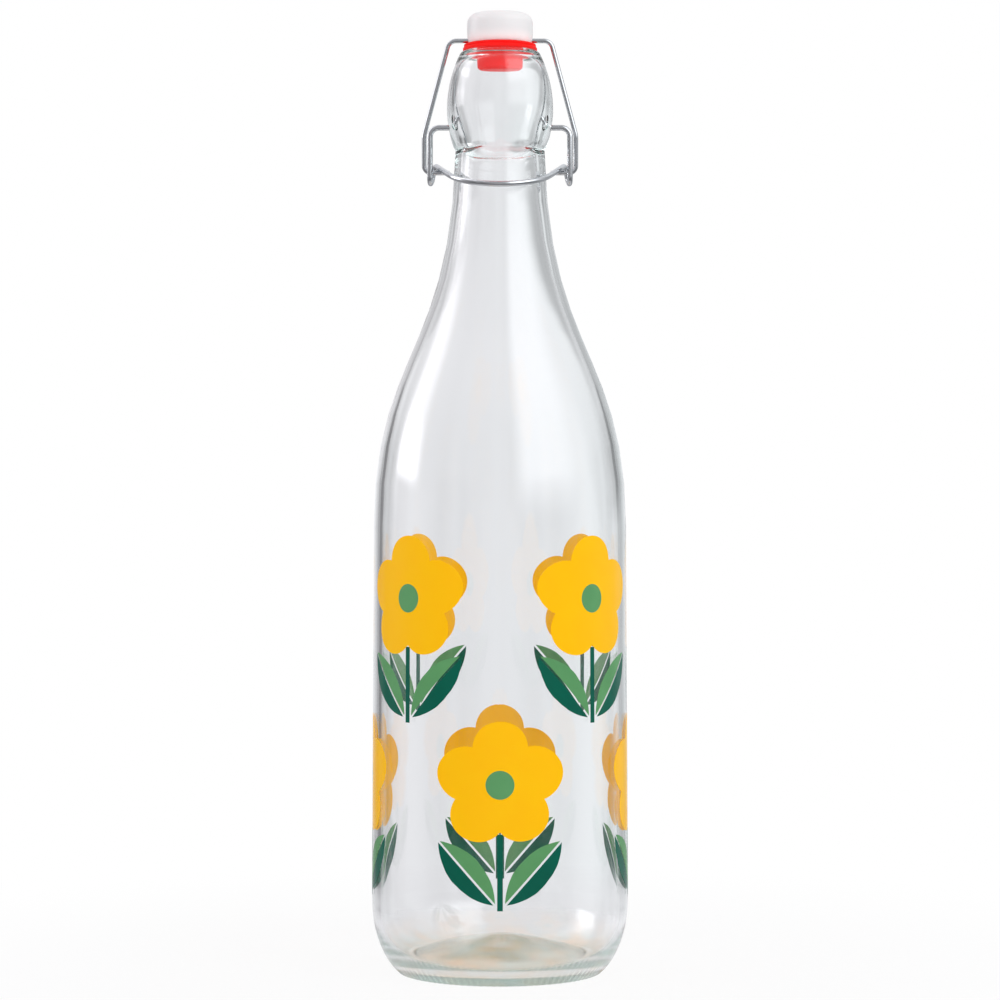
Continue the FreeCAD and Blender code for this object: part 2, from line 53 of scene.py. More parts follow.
# Glass bottle: one litre, clear soda-lime glass blown in a two-part mould.
# The outline is turned about the axis, outside first and then back down the inside. The mould leaves
# a faint seam front and back, a knurled foot, and inner walls that are never quite even.
MM = 0.001
RING_INSET = 8.9
RING_WIDTH = 3.9
RING_EDGE_R = 0.8
PUSH_UP_HEIGHT = 7.8
HEEL_HEIGHT = 23.3
HEEL_FOOT_ANGLE = 39.4
HEEL_FOOT_HANDLE = 6.7
HEEL_HANDLE = 10.0
BODY_TAPER = 0.55
BODY_TOP_Z = 146.9
SHOULDER_HANDLE = 58.5
NECK_HANDLE = 67.5
NECK_FLARE = 1.4
NECK_R = 14.8
NECK_TOP_Z = 271.4
FINISH_FOOT_R = 15.5
FINISH_FOOT_Z = 273.0
FINISH_JOINT_HANDLE = 0.7
FINISH_MAX_R = 17.6
FINISH_MAX_Z = 285.2
FINISH_TOP_R = 12.85
RIM_OUTER_EDGE_R = 1.9
RIM_INNER_EDGE_R = 1.1
MOUTH_R = 9.9
MOUTH_DEPTH = 1.6
MOUTH_FOOT_EDGE_R = 0.7
MOUTH_FLARE_WIDTH = 3.2
MOUTH_FLARE_DROP = 1.4
CAVITY_WALL = 3.0
CAVITY_Z = 290.0
CAVITY_HANDLE = 6.8
CAVITY_LOW_HANDLE = 8.5
CHOKE_R = 10.8
CHOKE_TOP_HANDLE = 3.0
CHOKE_HANDLE = 0.9
NECK_BORE_R = 12.05
NECK_BORE_Z = 270.0
NECK_BORE_FLARE = 1.7
NECK_BORE_HANDLE = 62.0
WALL = 2.7
INNER_HEEL_Z = 22.0
INNER_HEEL_HANDLE = 13.5
FLOOR_INSET = 1.5
FLOOR_EDGE_Z = 4.4
FLOOR_HANDLE = 4.0
FLOOR_THICKNESS = 4.4
SEAM_HEIGHT = 0.06
SEAM_WIDTH = 0.6
SEAM_CLEAR = 6.0
SEAM_FADE = 4.0
KNURL_PITCH = 2.1
KNURL_DEPTH = 0.28
KNURL_TOP = 3.0
KNURL_FADE = 1.5
WALL_WAVE = 0.03
WALL_WAVE_CLEAR = 30.0
WALL_WAVE_FADE = 16.0
FLOOR_WAVE = 0.28
FLOOR_WAVE_CLEAR = 4.0
FLOOR_WAVE_FADE = 3.0
RIDGE_WANDER = 0.8
RIDGE_FADE = 4.0
STEPS_AROUND = 360
STEPS_ALONG = 11
SEAM_CROWDING = 0.3
# Waves of the inner wall, each with its lobes round, rise to a radian, start and share, and waves of the
# ridge at the neck, which have no rise.
WALL_WAVES = [(2, 55, 1.1, 1 / 2), (3, 34, -0.6, 1 / 3), (5, -21, 2.0, 1 / 6)]
RIDGE_WAVES = [(2, 0.9, 1 / 2), (5, -0.4, 1 / 3), (9, 1.7, 1 / 4)]

OUTWARD = Vector((1, 0, 0))
INWARD = Vector((-1, 0, 0))
UP = Vector((0, 0, 1))
DOWN = Vector((0, 0, -1))


def at(r, z):
    """A point of a turned outline, its radius and height in millimetres."""
    return Vector((r, 0, z)) * MM


def straight(start, end):
    return [start, start.lerp(end, 1 / 3), start.lerp(end, 2 / 3), end]


def curved(start, leaving, arriving, end):
    """A curve between two points, with its handle at each."""
    return [start, start + leaving, end + arriving, end]


def straights(corners):
    """Straight lines from corner to corner."""
    return [straight(start, end) for start, end in zip(corners, corners[1:])]


def heading_at(angle):
    """A heading in the plane of an outline, at an angle up from outward."""
    return Vector((cos(angle), 0, sin(angle)))


def arc(start, end, heading):
    """A round arc that leaves its start along the heading."""
    chord = end - start
    turn = 2 * heading.angle(chord)
    radius = chord.length / (2 * sin(turn / 2))
    handle = 4 / 3 * tan(turn / 4) * radius
    arriving = 2 * heading.dot(chord) / chord.length_squared * chord - heading
    return [start, start + heading * handle, end - arriving * handle, end]


def rounded(corner, heading, leaving, radius):
    """The arc that rounds a corner, between the two straight lines that meet there."""
    set_back = radius * tan(heading.angle(leaving) / 2)
    return arc(corner - heading * set_back, corner + leaving * set_back, heading)


TOUCHING = 1e-9


def chained(outline):
    """Fill the gaps between an outline's pieces with straight lines."""
    chain = [outline[0]]
    for piece in outline[1:]:
        if (piece[0] - chain[-1][3]).length > TOUCHING:
            chain.append(straight(chain[-1][3], piece[0]))
        chain.append(piece)
    return chain


def drawn(name, outline, resolution):
    """A curve through an outline's pieces, each with its two ends and two handles."""
    pieces = chained(outline)
    curve = bpy.data.curves.new(name, "CURVE")
    curve.dimensions = "3D"
    curve.resolution_u = resolution
    spline = curve.splines.new("BEZIER")
    spline.bezier_points.add(len(pieces))
    for index, knot in enumerate(spline.bezier_points):
        knot.handle_left_type = "FREE"
        knot.handle_right_type = "FREE"
        before = pieces[max(index - 1, 0)]
        after = pieces[min(index, len(pieces) - 1)]
        knot.co = after[0] if index < len(pieces) else before[3]
        knot.handle_left = before[2] if index else knot.co
        knot.handle_right = after[1] if index < len(pieces) else knot.co
    return curve


def add(tree, kind, sockets=None, **settings):
    """Add a node with its settings, and feed its sockets with values or from other nodes."""
    node = tree.nodes.new(kind)
    for name, value in settings.items():
        setattr(node, name, value)
    for socket, source in (sockets or {}).items():
        if isinstance(source, bpy.types.Node):
            source = source.outputs[0]
        if isinstance(source, bpy.types.NodeSocket):
            tree.links.new(source, node.inputs[socket])
        else:
            node.inputs[socket].default_value = source
    return node


def geometry_tree(name, sizes):
    """A geometry tree with a named input for each size, and its ends."""
    tree = bpy.data.node_groups.new(name, "GeometryNodeTree")
    tree.interface.new_socket("Geometry", in_out="INPUT", socket_type="NodeSocketGeometry")
    for size, kind in sizes.items():
        tree.interface.new_socket(size, in_out="INPUT", socket_type="NodeSocket" + kind)
    tree.interface.new_socket("Geometry", in_out="OUTPUT", socket_type="NodeSocketGeometry")
    return tree, add(tree, "NodeGroupInput").outputs


def ended(tree, geometry, material):
    """Close a geometry tree with plain, smooth faces in one material."""
    smooth = add(tree, "GeometryNodeSetShadeSmooth", {"Geometry": geometry})
    real = add(tree, "GeometryNodeRealizeInstances", {"Geometry": smooth})
    dressed = add(tree, "GeometryNodeSetMaterial", {"Geometry": real, "Material": material})
    add(tree, "NodeGroupOutput", {0: dressed})


def placed(name, data):
    """A new object in the scene, at the origin."""
    thing = bpy.data.objects.new(name, data)
    scene.collection.objects.link(thing)
    return thing


def made(name, drawing, tree, sizes):
    """Run a geometry tree on a drawing and keep the result as a plain mesh at the origin."""
    holder = placed(name + "_drawing", drawing)
    modifier = holder.modifiers.new(tree.name, "NODES")
    modifier.node_group = tree
    for item in tree.interface.items_tree:
        if item.in_out == "INPUT" and item.name in sizes:
            modifier[item.identifier] = sizes[item.name]
    evaluated = holder.evaluated_get(bpy.context.evaluated_depsgraph_get())
    mesh = bpy.data.meshes.new_from_object(evaluated)
    mesh.name = name
    bpy.data.objects.remove(holder)
    return placed(name, mesh)


# The lathe sweeps an outline round a small circle. A curve swept round a level circle keeps its own
# x outward and its own y down, so the outline is turned into that plane first.
LATHE_CIRCLE_R = 5 * MM
MERGE = 0.002 * MM
lathe, size = geometry_tree("Lathe", {"Steps Around": "Int", "Material": "Material"})
section = add(lathe, "GeometryNodeTransform", {
    "Geometry": size["Geometry"],
    "Translation": (-LATHE_CIRCLE_R, 0, 0),
    "Rotation": (pi / 2, 0, 0),
})
step = add(lathe, "GeometryNodeSplineParameter").outputs["Index"]
stepped = add(lathe, "GeometryNodeStoreNamedAttribute", {
    "Geometry": section, "Name": "outline_step", "Value": step,
}, data_type="FLOAT", domain="POINT")
circle = add(lathe, "GeometryNodeCurvePrimitiveCircle", {
    "Resolution": size["Steps Around"], "Radius": LATHE_CIRCLE_R,
})
level = add(lathe, "GeometryNodeSetCurveNormal", {"Curve": circle}, mode="Z_UP")
swept = add(lathe, "GeometryNodeCurveToMesh", {"Curve": level, "Profile Curve": stepped})
joined = add(lathe, "GeometryNodeMergeByDistance", {"Geometry": swept, "Distance": MERGE})
ended(lathe, joined, size["Material"])


def facing_out(piece):
    """Turn every face of a closed piece outwards."""
    work = bmesh.new()
    work.from_mesh(piece.data)
    bmesh.ops.recalc_face_normals(work, faces=work.faces)
    work.to_mesh(piece.data)
    work.free()
    return piece


def turned(name, outline, steps, resolution, material):
    """An outline turned on the lathe, with its steps around and its steps along each curve."""
    sizes = {"Steps Around": steps, "Material": material}
    return facing_out(made(name, drawn(name, outline, resolution), lathe, sizes))


def linear(hex_colour):
    """An sRGB hex colour as linear red, green, blue and alpha."""
    shares = [int(hex_colour[i:i + 2], 16) / 255 for i in (1, 3, 5)]
    return [s / 12.92 if s <= 0.04045 else ((s + 0.055) / 1.055) ** 2.4 for s in shares] + [1.0]


def material(name):
    """A new material with its empty tree and a socket for places on the piece."""
    new = bpy.data.materials.new(name)
    new.use_nodes = True
    new.node_tree.nodes.clear()
    return new, new.node_tree, add(new.node_tree, "ShaderNodeTexCoord").outputs["Object"]


def letting_by(tree, surface, share, colour):
    """A surface that lets a share of the light for other things straight through, in a colour."""
    path = add(tree, "ShaderNodeLightPath")
    lit = add(tree, "ShaderNodeMath", {
        0: path.outputs["Is Shadow Ray"], 1: path.outputs["Is Diffuse Ray"],
    }, operation="MAXIMUM")
    let_by = add(tree, "ShaderNodeMath", {0: lit, 1: share}, operation="MULTIPLY")
    passed = add(tree, "ShaderNodeBsdfTransparent", {"Color": linear(colour)})
    return add(tree, "ShaderNodeMixShader", {0: let_by, 1: surface, 2: passed})


# Soda-lime glass is clear with a faint green depth. Its blown surface is smooth with a slow ripple, and
# the base plate leaves the floor and the push-up slightly matt. There the glass also carries a painted
# reflection of the print, mottled warm yellow and cool green.
GLASS_DEPTH_COLOUR = "#59CDBE"
GLASS_DEPTH = 6.5
GLASS_IOR = 1.52
RIPPLE_SIZE = 14.0
RIPPLE_HEIGHT = 0.02
MATT_TOP = 13.0
MATT_FADE = 4.0
MATT_R = 42.0
MATT_EDGE = 10.0
MATT_ROUGHNESS = 0.2
# Colours of the painted reflection of the print on the base
PAINTED_REFLECTION_WARM = "#FCE9D3"
PAINTED_REFLECTION_COOL = "#EEF0E8"
MOTTLE_SIZE = 9.0
# A range node's sockets are its value, the two ends of its range, and what it gives at each. A soft one
# eases in and out.
SOFT = {"interpolation_type": "SMOOTHSTEP"}
soda_lime_glass, tree, here = material("soda_lime_glass")
ripple = add(tree, "ShaderNodeTexNoise", {"Vector": here, "Scale": 1 / (RIPPLE_SIZE * MM), "Detail": 1.0})
bump = add(tree, "ShaderNodeBump", {"Height": ripple, "Distance": RIPPLE_HEIGHT * MM})
height = add(tree, "ShaderNodeSeparateXYZ", {0: here}).outputs[2]
level_place = add(tree, "ShaderNodeVectorMath", {0: here, 1: (1, 1, 0)}, operation="MULTIPLY")
off_axis = add(tree, "ShaderNodeVectorMath", {0: level_place}, operation="LENGTH").outputs["Value"]
low = add(tree, "ShaderNodeMapRange", {0: height, 1: (MATT_TOP + MATT_FADE) * MM, 2: MATT_TOP * MM}, **SOFT)
inner = add(tree, "ShaderNodeMapRange", {0: off_axis, 1: MATT_R * MM, 2: (MATT_R - MATT_EDGE) * MM}, **SOFT)
base = add(tree, "ShaderNodeMath", {0: low, 1: inner}, operation="MULTIPLY")
matt = add(tree, "ShaderNodeMath", {0: base, 1: MATT_ROUGHNESS}, operation="MULTIPLY")
# Painted reflection: the floor and push-up are tinted with the print's yellow and green, mottled, as if
# reflected there
mottle = add(tree, "ShaderNodeTexNoise", {"Vector": here, "Scale": 1 / (MOTTLE_SIZE * MM), "Detail": 1.0})
cooler = add(tree, "ShaderNodeMapRange", {0: mottle, 1: 0.38, 2: 0.62})
painted_reflection_colour = add(tree, "ShaderNodeMix", {
    "Factor": cooler, "A": linear(PAINTED_REFLECTION_WARM), "B": linear(PAINTED_REFLECTION_COOL),
}, data_type="RGBA")
tint = add(tree, "ShaderNodeMix", {
    "Factor": base, "A": linear("#FFFFFF"), "B": painted_reflection_colour.outputs["Result"],
}, data_type="RGBA")
glass = add(tree, "ShaderNodeBsdfPrincipled", {
    "Base Color": tint.outputs["Result"], "Roughness": matt, "IOR": GLASS_IOR, "Transmission Weight": 1.0,
    "Normal": bump,
})
# Light reaches what stands inside and behind the glass as if straight through it
surface = letting_by(tree, glass, 1.0, "#FFFFFF")
depth = add(tree, "ShaderNodeVolumeAbsorption", {
    "Color": linear(GLASS_DEPTH_COLOUR), "Density": GLASS_DEPTH,
})
add(tree, "ShaderNodeOutputMaterial", {"Surface": surface, "Volume": depth})

body_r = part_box("bottle")[1].x / MM
rim_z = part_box("bottle")[1].z / MM
ring_outer_r = body_r - RING_INSET
ring_inner_r = ring_outer_r - RING_WIDTH
push_up_heading = heading_at(-2 * atan2(PUSH_UP_HEIGHT, ring_inner_r))
ring_inner_edge = rounded(at(ring_inner_r, 0), push_up_heading, OUTWARD, RING_EDGE_R * MM)
heel_heading = heading_at(radians(HEEL_FOOT_ANGLE))
ring_outer_edge = rounded(at(ring_outer_r, 0), OUTWARD, heel_heading, RING_EDGE_R * MM)
body_top_r = body_r - BODY_TAPER
neck_top = at(NECK_R, NECK_TOP_Z)
finish_foot = at(FINISH_FOOT_R, FINISH_FOOT_Z)
finish_middle = at(FINISH_MAX_R, FINISH_MAX_Z)
finish_lower = arc(finish_middle, finish_foot, DOWN)
finish_foot_heading = (finish_lower[3] - finish_lower[2]).normalized()
finish_foot_handle = finish_foot_heading * FINISH_JOINT_HANDLE * MM
finish_upper = arc(finish_middle, at(FINISH_TOP_R, rim_z), UP)
finish_top_heading = (finish_upper[3] - finish_upper[2]).normalized()
rim_outer_edge = rounded(at(FINISH_TOP_R, rim_z), finish_top_heading, INWARD, RIM_OUTER_EDGE_R * MM)
outside = [
    arc(at(0, PUSH_UP_HEIGHT), ring_inner_edge[0], OUTWARD),
    ring_inner_edge,
    ring_outer_edge,
    [
        ring_outer_edge[3],
        at(ring_outer_r, 0) + heel_heading * HEEL_FOOT_HANDLE * MM,
        at(body_r, HEEL_HEIGHT - HEEL_HANDLE),
        at(body_r, HEEL_HEIGHT),
    ],
    curved(at(body_top_r, BODY_TOP_Z), at(0, SHOULDER_HANDLE), at(NECK_FLARE, -NECK_HANDLE), neck_top),
    curved(neck_top, at(0, FINISH_JOINT_HANDLE), finish_foot_handle, finish_foot),
    finish_lower[::-1],
    arc(finish_middle, rim_outer_edge[0], UP),
    rim_outer_edge,
]
rim_inner_edge = rounded(at(MOUTH_R, rim_z), INWARD, DOWN, RIM_INNER_EDGE_R * MM)
mouth_foot = at(MOUTH_R, rim_z - MOUTH_DEPTH)
flare_handle = mouth_foot + at(MOUTH_FLARE_WIDTH, -MOUTH_FLARE_DROP)
flare_heading = (flare_handle - mouth_foot).normalized()
mouth_foot_edge = rounded(mouth_foot, DOWN, flare_heading, MOUTH_FOOT_EDGE_R * MM)
bulge_rise = rim_z - FINISH_MAX_Z
bulge_r = (bulge_rise ** 2 + (FINISH_MAX_R - FINISH_TOP_R) ** 2) / (2 * (FINISH_MAX_R - FINISH_TOP_R))
cavity_r = FINISH_MAX_R - bulge_r + sqrt(bulge_r ** 2 - (CAVITY_Z - FINISH_MAX_Z) ** 2) - CAVITY_WALL
cavity = at(cavity_r, CAVITY_Z)
choke = at(CHOKE_R, FINISH_FOOT_Z)
neck_bore = at(NECK_BORE_R, NECK_BORE_Z)
inner_body_top = at(body_top_r - WALL, BODY_TOP_Z)
inner_heel = at(body_r - WALL, INNER_HEEL_Z)
floor_r = ring_inner_r - FLOOR_INSET
floor_centre_z = PUSH_UP_HEIGHT + FLOOR_THICKNESS
floor_heading = heading_at(-2 * atan2(floor_centre_z - FLOOR_EDGE_Z, floor_r))
floor_edge = at(floor_r, FLOOR_EDGE_Z)
inside = [
    rim_inner_edge,
    mouth_foot_edge,
    [mouth_foot_edge[3], flare_handle, cavity + at(0, CAVITY_HANDLE), cavity],
    curved(cavity, at(0, -CAVITY_LOW_HANDLE), at(0, CHOKE_TOP_HANDLE), choke),
    curved(choke, at(0, -CHOKE_HANDLE), at(0, CHOKE_HANDLE), neck_bore),
    curved(neck_bore, at(NECK_BORE_FLARE, -NECK_BORE_HANDLE), at(0, SHOULDER_HANDLE), inner_body_top),
    curved(inner_heel, at(0, -INNER_HEEL_HANDLE), floor_heading * FLOOR_HANDLE * MM, floor_edge),
    arc(at(0, floor_centre_z), floor_edge, OUTWARD)[::-1],
]
glass_bottle = turned("glass_bottle", outside + inside, STEPS_AROUND, STEPS_ALONG, soda_lime_glass)


def between(values, low, high, edge):
    """1 between two limits, falling smoothly to 0 over the edge beyond each."""
    rise = np.clip((values - low) / edge + 1, 0, 1)
    fall = np.clip((high - values) / edge + 1, 0, 1)
    return (rise * rise * (3 - 2 * rise)) * (fall * fall * (3 - 2 * fall))


def mould_marks(mesh, outside_steps):
    """Crowd the steps round the seams, raise the seams, knurl the foot, and wave the inside and floor."""
    count = len(mesh.vertices)
    places = np.empty(count * 3)
    mesh.vertices.foreach_get("co", places)
    x, y, z = places.reshape(-1, 3).T / MM
    step = np.empty(count)
    mesh.attributes["outline_step"].data.foreach_get("value", step)
    r = np.hypot(x, y)
    angle = np.arctan2(y, x)
    angle += SEAM_CROWDING / 2 * np.sin(2 * angle)
    is_outside = step < outside_steps
    from_seam = r * np.abs(np.pi / 2 - np.abs(angle))
    seam = SEAM_HEIGHT * np.exp(-((from_seam / SEAM_WIDTH) ** 2))
    seam *= between(z, SEAM_CLEAR, rim_z - SEAM_CLEAR, SEAM_FADE)
    teeth = round(2 * pi * ring_outer_r / KNURL_PITCH)
    notch = KNURL_DEPTH * (1 - np.cos(teeth * angle)) / 2
    notch *= between(z, 0, KNURL_TOP, KNURL_FADE) * (r > ring_inner_r + RING_WIDTH / 2)
    wave = sum(share * np.sin(lobes * angle + z / rise + start) for lobes, rise, start, share in WALL_WAVES)
    wave *= WALL_WAVE * between(z, WALL_WAVE_CLEAR, NECK_TOP_Z - WALL_WAVE_CLEAR, WALL_WAVE_FADE)
    ridge = sum(share * np.sin(lobes * angle + start) for lobes, start, share in RIDGE_WAVES)
    ridge *= RIDGE_WANDER * between(z, NECK_BORE_Z - 1, FINISH_FOOT_Z + 1, RIDGE_FADE)
    swirl = np.sin(x / 4.3 + 0.8 * np.sin(y / 5.1)) + np.sin(y / 3.7 + 0.9 * np.sin(x / 6.2) + 1.3)
    swirl *= FLOOR_WAVE * between(z, -1, floor_centre_z, 1)
    swirl *= between(r, 0, floor_r - FLOOR_WAVE_CLEAR, FLOOR_WAVE_FADE)
    z = z + np.where(is_outside, 0, ridge) + swirl
    r = r + np.where(is_outside, seam - notch, wave)
    moved = np.stack([r * np.cos(angle), r * np.sin(angle), z], axis=1) * MM
    mesh.vertices.foreach_set("co", moved.ravel())
    mesh.update()


mould_marks(glass_bottle.data, len(chained(outside)))


def drilled(piece, corners, start, heading, steps):
    """Cut a hole along a heading, by a turned tool with these corners, and crease its edges."""
    tool = turned("tool", straights(corners), steps, 1, piece.data.materials[0])
    tool.data.transform(heading.to_track_quat("Z", "Y").to_matrix().to_4x4())
    tool.data.transform(Matrix.Translation(start))
    boolean = piece.modifiers.new("hole", "BOOLEAN")
    boolean.operation = "DIFFERENCE"
    boolean.solver = "EXACT"
    boolean.object = tool
    evaluated = piece.evaluated_get(bpy.context.evaluated_depsgraph_get())
    mesh = bpy.data.meshes.new_from_object(evaluated)
    piece.modifiers.clear()
    piece.data = mesh
    mesh.set_sharp_from_angle(angle=radians(HOLE_CREASE))
    bpy.data.objects.remove(tool)


# The lever's two tips turn in blind dimples with flared mouths, one in each side of the finish.
DIMPLE_FLOOR_X = 14.35
DIMPLE_MOUTH_R = 2.5
DIMPLE_CONE_DEPTH = 1.5
DIMPLE_DEPTH = 2.6
PIVOT_HOLE_R = 1.03
HOLE_CREASE = 38.0
joint_at = {joint["name"]: Vector(joint["pos_m"]) for joint in frame["joints"]}
pivot = joint_at["lever_swing"]
flare_r = 2 * DIMPLE_MOUTH_R - PIVOT_HOLE_R
dimple_corners = [
    at(0, 0),
    at(PIVOT_HOLE_R, 0),
    at(PIVOT_HOLE_R, DIMPLE_DEPTH - DIMPLE_CONE_DEPTH),
    at(flare_r, DIMPLE_DEPTH + DIMPLE_CONE_DEPTH),
    at(0, DIMPLE_DEPTH + DIMPLE_CONE_DEPTH),
]
for side in (OUTWARD, INWARD):
    drilled(glass_bottle, dimple_corners, pivot + side * DIMPLE_FLOOR_X * MM, side, steps=40)
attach(glass_bottle, "bottle")
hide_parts("bottle")


# Print: three colours of glass enamel, screened on the body and fired until they fuse with it.
# Two rows of flowers stand half a step apart, and each flower has a stem and two leaves in two greens.
INK_SINK = 0.05
INK_THICKNESS = 0.12
COLUMNS = 4
ROW_PITCH = 59.0
PETALS = 5
PETAL_R = 8.8
PETAL_REACH = 11.6
EYE_R = 4.6
EYE_MIDDLE_R = 0.4
STEM_WIDTH = 1.8
STEM_GAP = 0.7
LEAF_DROP = 40.0
LEAF_START = 2.4
LEAF_LENGTH = 27.0
LEAF_WIDTH = 10.5
LEAF_ANGLE = 48.0
VEIN_GAP = 0.7
PETAL_WANDER = 0.01
LEAF_WANDER = 0.02
FINE_WANDER = 0.006
FILM_CREASE = 50.0
DISC_STEPS = 160
LEAF_STEPS = 72
LEAF_ROWS = 6
STEM_STEPS = 24
STEM_ROWS = 4

# The wrap lays a flat motif on the cone of the body at every place of the pattern, and thickens it.
wrap, size = geometry_tree("Wrap", {
    "Columns": "Int", "Rows": "Int", "First Row": "Float", "Row Pitch": "Float", "Foot Radius": "Float",
    "Foot Height": "Float", "Narrowing": "Float", "Thickness": "Float", "Material": "Material",
})
index = add(wrap, "GeometryNodeInputIndex")
rows_on = add(wrap, "ShaderNodeMath", {0: index, 1: size["Columns"]}, operation="DIVIDE")
row = add(wrap, "ShaderNodeMath", {0: rows_on}, operation="FLOOR")
column = add(wrap, "ShaderNodeMath", {0: index, 1: size["Columns"]}, operation="FLOORED_MODULO")
half_step = add(wrap, "ShaderNodeMath", {0: row, 1: 0.5, 2: 0.5}, operation="MULTIPLY_ADD")
stepped_on = add(wrap, "ShaderNodeMath", {0: column, 1: half_step})
one_step = add(wrap, "ShaderNodeMath", {0: 2 * pi, 1: size["Columns"]}, operation="DIVIDE")
turn = add(wrap, "ShaderNodeMath", {0: stepped_on, 1: one_step}, operation="MULTIPLY")
row_drop = add(wrap, "ShaderNodeMath", {0: row, 1: size["Row Pitch"]}, operation="MULTIPLY")
row_height = add(wrap, "ShaderNodeMath", {0: size["First Row"], 1: row_drop}, operation="SUBTRACT")
spot_count = add(wrap, "ShaderNodeMath", {0: size["Columns"], 1: size["Rows"]}, operation="MULTIPLY")
spot_at = add(wrap, "ShaderNodeCombineXYZ", {2: row_height})
spots = add(wrap, "GeometryNodePoints", {"Count": spot_count, "Position": spot_at})
turned_spots = add(wrap, "GeometryNodeStoreNamedAttribute", {
    "Geometry": spots, "Name": "turn", "Value": turn,
}, data_type="FLOAT", domain="POINT")
copies = add(wrap, "GeometryNodeInstanceOnPoints", {"Points": turned_spots, "Instance": size["Geometry"]})
flat = add(wrap, "GeometryNodeRealizeInstances", {"Geometry": copies})
flat_x, _, flat_z = add(wrap, "ShaderNodeSeparateXYZ", {0: add(wrap, "GeometryNodeInputPosition")}).outputs
above_foot = add(wrap, "ShaderNodeMath", {0: flat_z, 1: size["Foot Height"]}, operation="SUBTRACT")
narrower = add(wrap, "ShaderNodeMath", {0: above_foot, 1: size["Narrowing"]}, operation="MULTIPLY")
skin_r = add(wrap, "ShaderNodeMath", {0: size["Foot Radius"], 1: narrower}, operation="SUBTRACT")
across = add(wrap, "ShaderNodeMath", {0: flat_x, 1: skin_r}, operation="DIVIDE")
sideways = add(wrap, "ShaderNodeMath", {0: across}, operation="ARCSINE")
stored_turn = add(wrap, "GeometryNodeInputNamedAttribute", {"Name": "turn"}, data_type="FLOAT")
azimuth = add(wrap, "ShaderNodeMath", {0: sideways, 1: stored_turn})
skin_front = add(wrap, "ShaderNodeMath", {0: skin_r, 1: -1.0}, operation="MULTIPLY")
front_at = add(wrap, "ShaderNodeCombineXYZ", {1: skin_front, 2: flat_z})
wrapped_at = add(wrap, "ShaderNodeVectorRotate", {
    "Vector": front_at, "Angle": azimuth,
}, rotation_type="Z_AXIS")
wrapped = add(wrap, "GeometryNodeSetPosition", {"Geometry": flat, "Position": wrapped_at})
level_place = add(wrap, "ShaderNodeVectorMath", {
    0: add(wrap, "GeometryNodeInputPosition"), 1: (1, 1, 0),
}, operation="MULTIPLY")
away = add(wrap, "ShaderNodeVectorMath", {0: level_place}, operation="NORMALIZE")
raised = add(wrap, "GeometryNodeExtrudeMesh", {
    "Mesh": wrapped, "Offset": away, "Offset Scale": size["Thickness"], "Individual": False,
})
both_faces = add(wrap, "GeometryNodeJoinGeometry", {0: raised})
wrap.links.new(wrapped.outputs[0], both_faces.inputs[0])
film = add(wrap, "GeometryNodeMergeByDistance", {"Geometry": both_faces, "Distance": MERGE})
ended(wrap, film, size["Material"])


def net(rows, closed=False):
    """A flat net through rows of points, placed across and up in millimetres."""
    rows = np.array(rows)
    height, width = rows.shape[:2]
    corners = [(across * MM, 0, up * MM) for across, up in rows.reshape(-1, 2)]
    faces = []
    for low in range(0, (height - 1) * width, width):
        for left in range(width if closed else width - 1):
            right = (left + 1) % width
            faces.append([low + left, low + right, low + width + right, low + width + left])
    return corners, faces


def motif(name, nets):
    """One flat drawing from several nets."""
    corners = []
    faces = []
    for net_corners, net_faces in nets:
        faces += [[corner + len(corners) for corner in face] for face in net_faces]
        corners += net_corners
    mesh = bpy.data.meshes.new(name)
    mesh.from_pydata(corners, [], faces)
    return mesh


def disc(inner_r, outer_r, rings):
    """A round net from an inner radius out to an outline, which is a radius for every angle."""
    angles = np.linspace(0, 2 * np.pi, DISC_STEPS, endpoint=False)
    around = np.stack([np.cos(angles), np.sin(angles)], axis=1)
    reach = outer_r(angles) - inner_r
    radii = [inner_r + reach * share for share in np.linspace(0, 1, rings)]
    return net([r[:, None] * around for r in radii], closed=True)


def petal_edge(angles):
    """The outline of round petals set in a ring, with the slight unevenness of a hand-cut stencil."""
    step = 2 * np.pi / PETALS
    off_petal = (angles - np.pi / 2 + step / 2) % step - step / 2
    radius = PETAL_REACH * np.cos(off_petal)
    radius += np.sqrt(PETAL_R ** 2 - (PETAL_REACH * np.sin(off_petal)) ** 2)
    return radius * (1 + PETAL_WANDER * np.sin(2 * angles + 0.6) + FINE_WANDER * np.sin(7 * angles))


def leaf_half(angle, upper):
    """Half a leaf, from its vein gap out to its edge, turned to its angle at the foot of the stem."""
    half_length = LEAF_LENGTH / 2
    half_width = LEAF_WIDTH / 2
    edge_r = (half_length ** 2 + half_width ** 2) / (2 * half_width)
    tip = sqrt(edge_r ** 2 - (edge_r - half_width + VEIN_GAP / 2) ** 2)
    along = np.linspace(-tip, tip, LEAF_STEPS)
    edge = np.sqrt(edge_r ** 2 - along ** 2) - edge_r + half_width
    uneven = LEAF_WANDER * np.sin(along * 0.5 + angle) + FINE_WANDER * np.sin(along * 1.7 - angle)
    edge *= 1 + uneven * (1 - (along / tip) ** 2)
    side = 1 if upper else -1
    lift = radians(angle)
    rows = []
    for share in np.linspace(0, 1, LEAF_ROWS):
        out = side * (VEIN_GAP / 2 * (1 - share) + np.maximum(edge, VEIN_GAP / 2) * share)
        reach = along + LEAF_START + half_length
        rows.append(np.stack([
            reach * cos(lift) - out * sin(lift),
            reach * sin(lift) + out * cos(lift) - LEAF_DROP,
        ], axis=1))
    return net(rows)


def stem():
    """A strip from the notch between the two lowest petals down to where the leaves spring."""
    notch = PETAL_REACH * cos(pi / PETALS)
    notch += sqrt(PETAL_R ** 2 - (PETAL_REACH * sin(pi / PETALS)) ** 2)
    heights = np.linspace(-LEAF_DROP, -notch - STEM_GAP, STEM_STEPS)
    sides = np.linspace(-STEM_WIDTH / 2, STEM_WIDTH / 2, STEM_ROWS)
    return net([np.stack([np.full_like(heights, side), heights], axis=1) for side in sides])


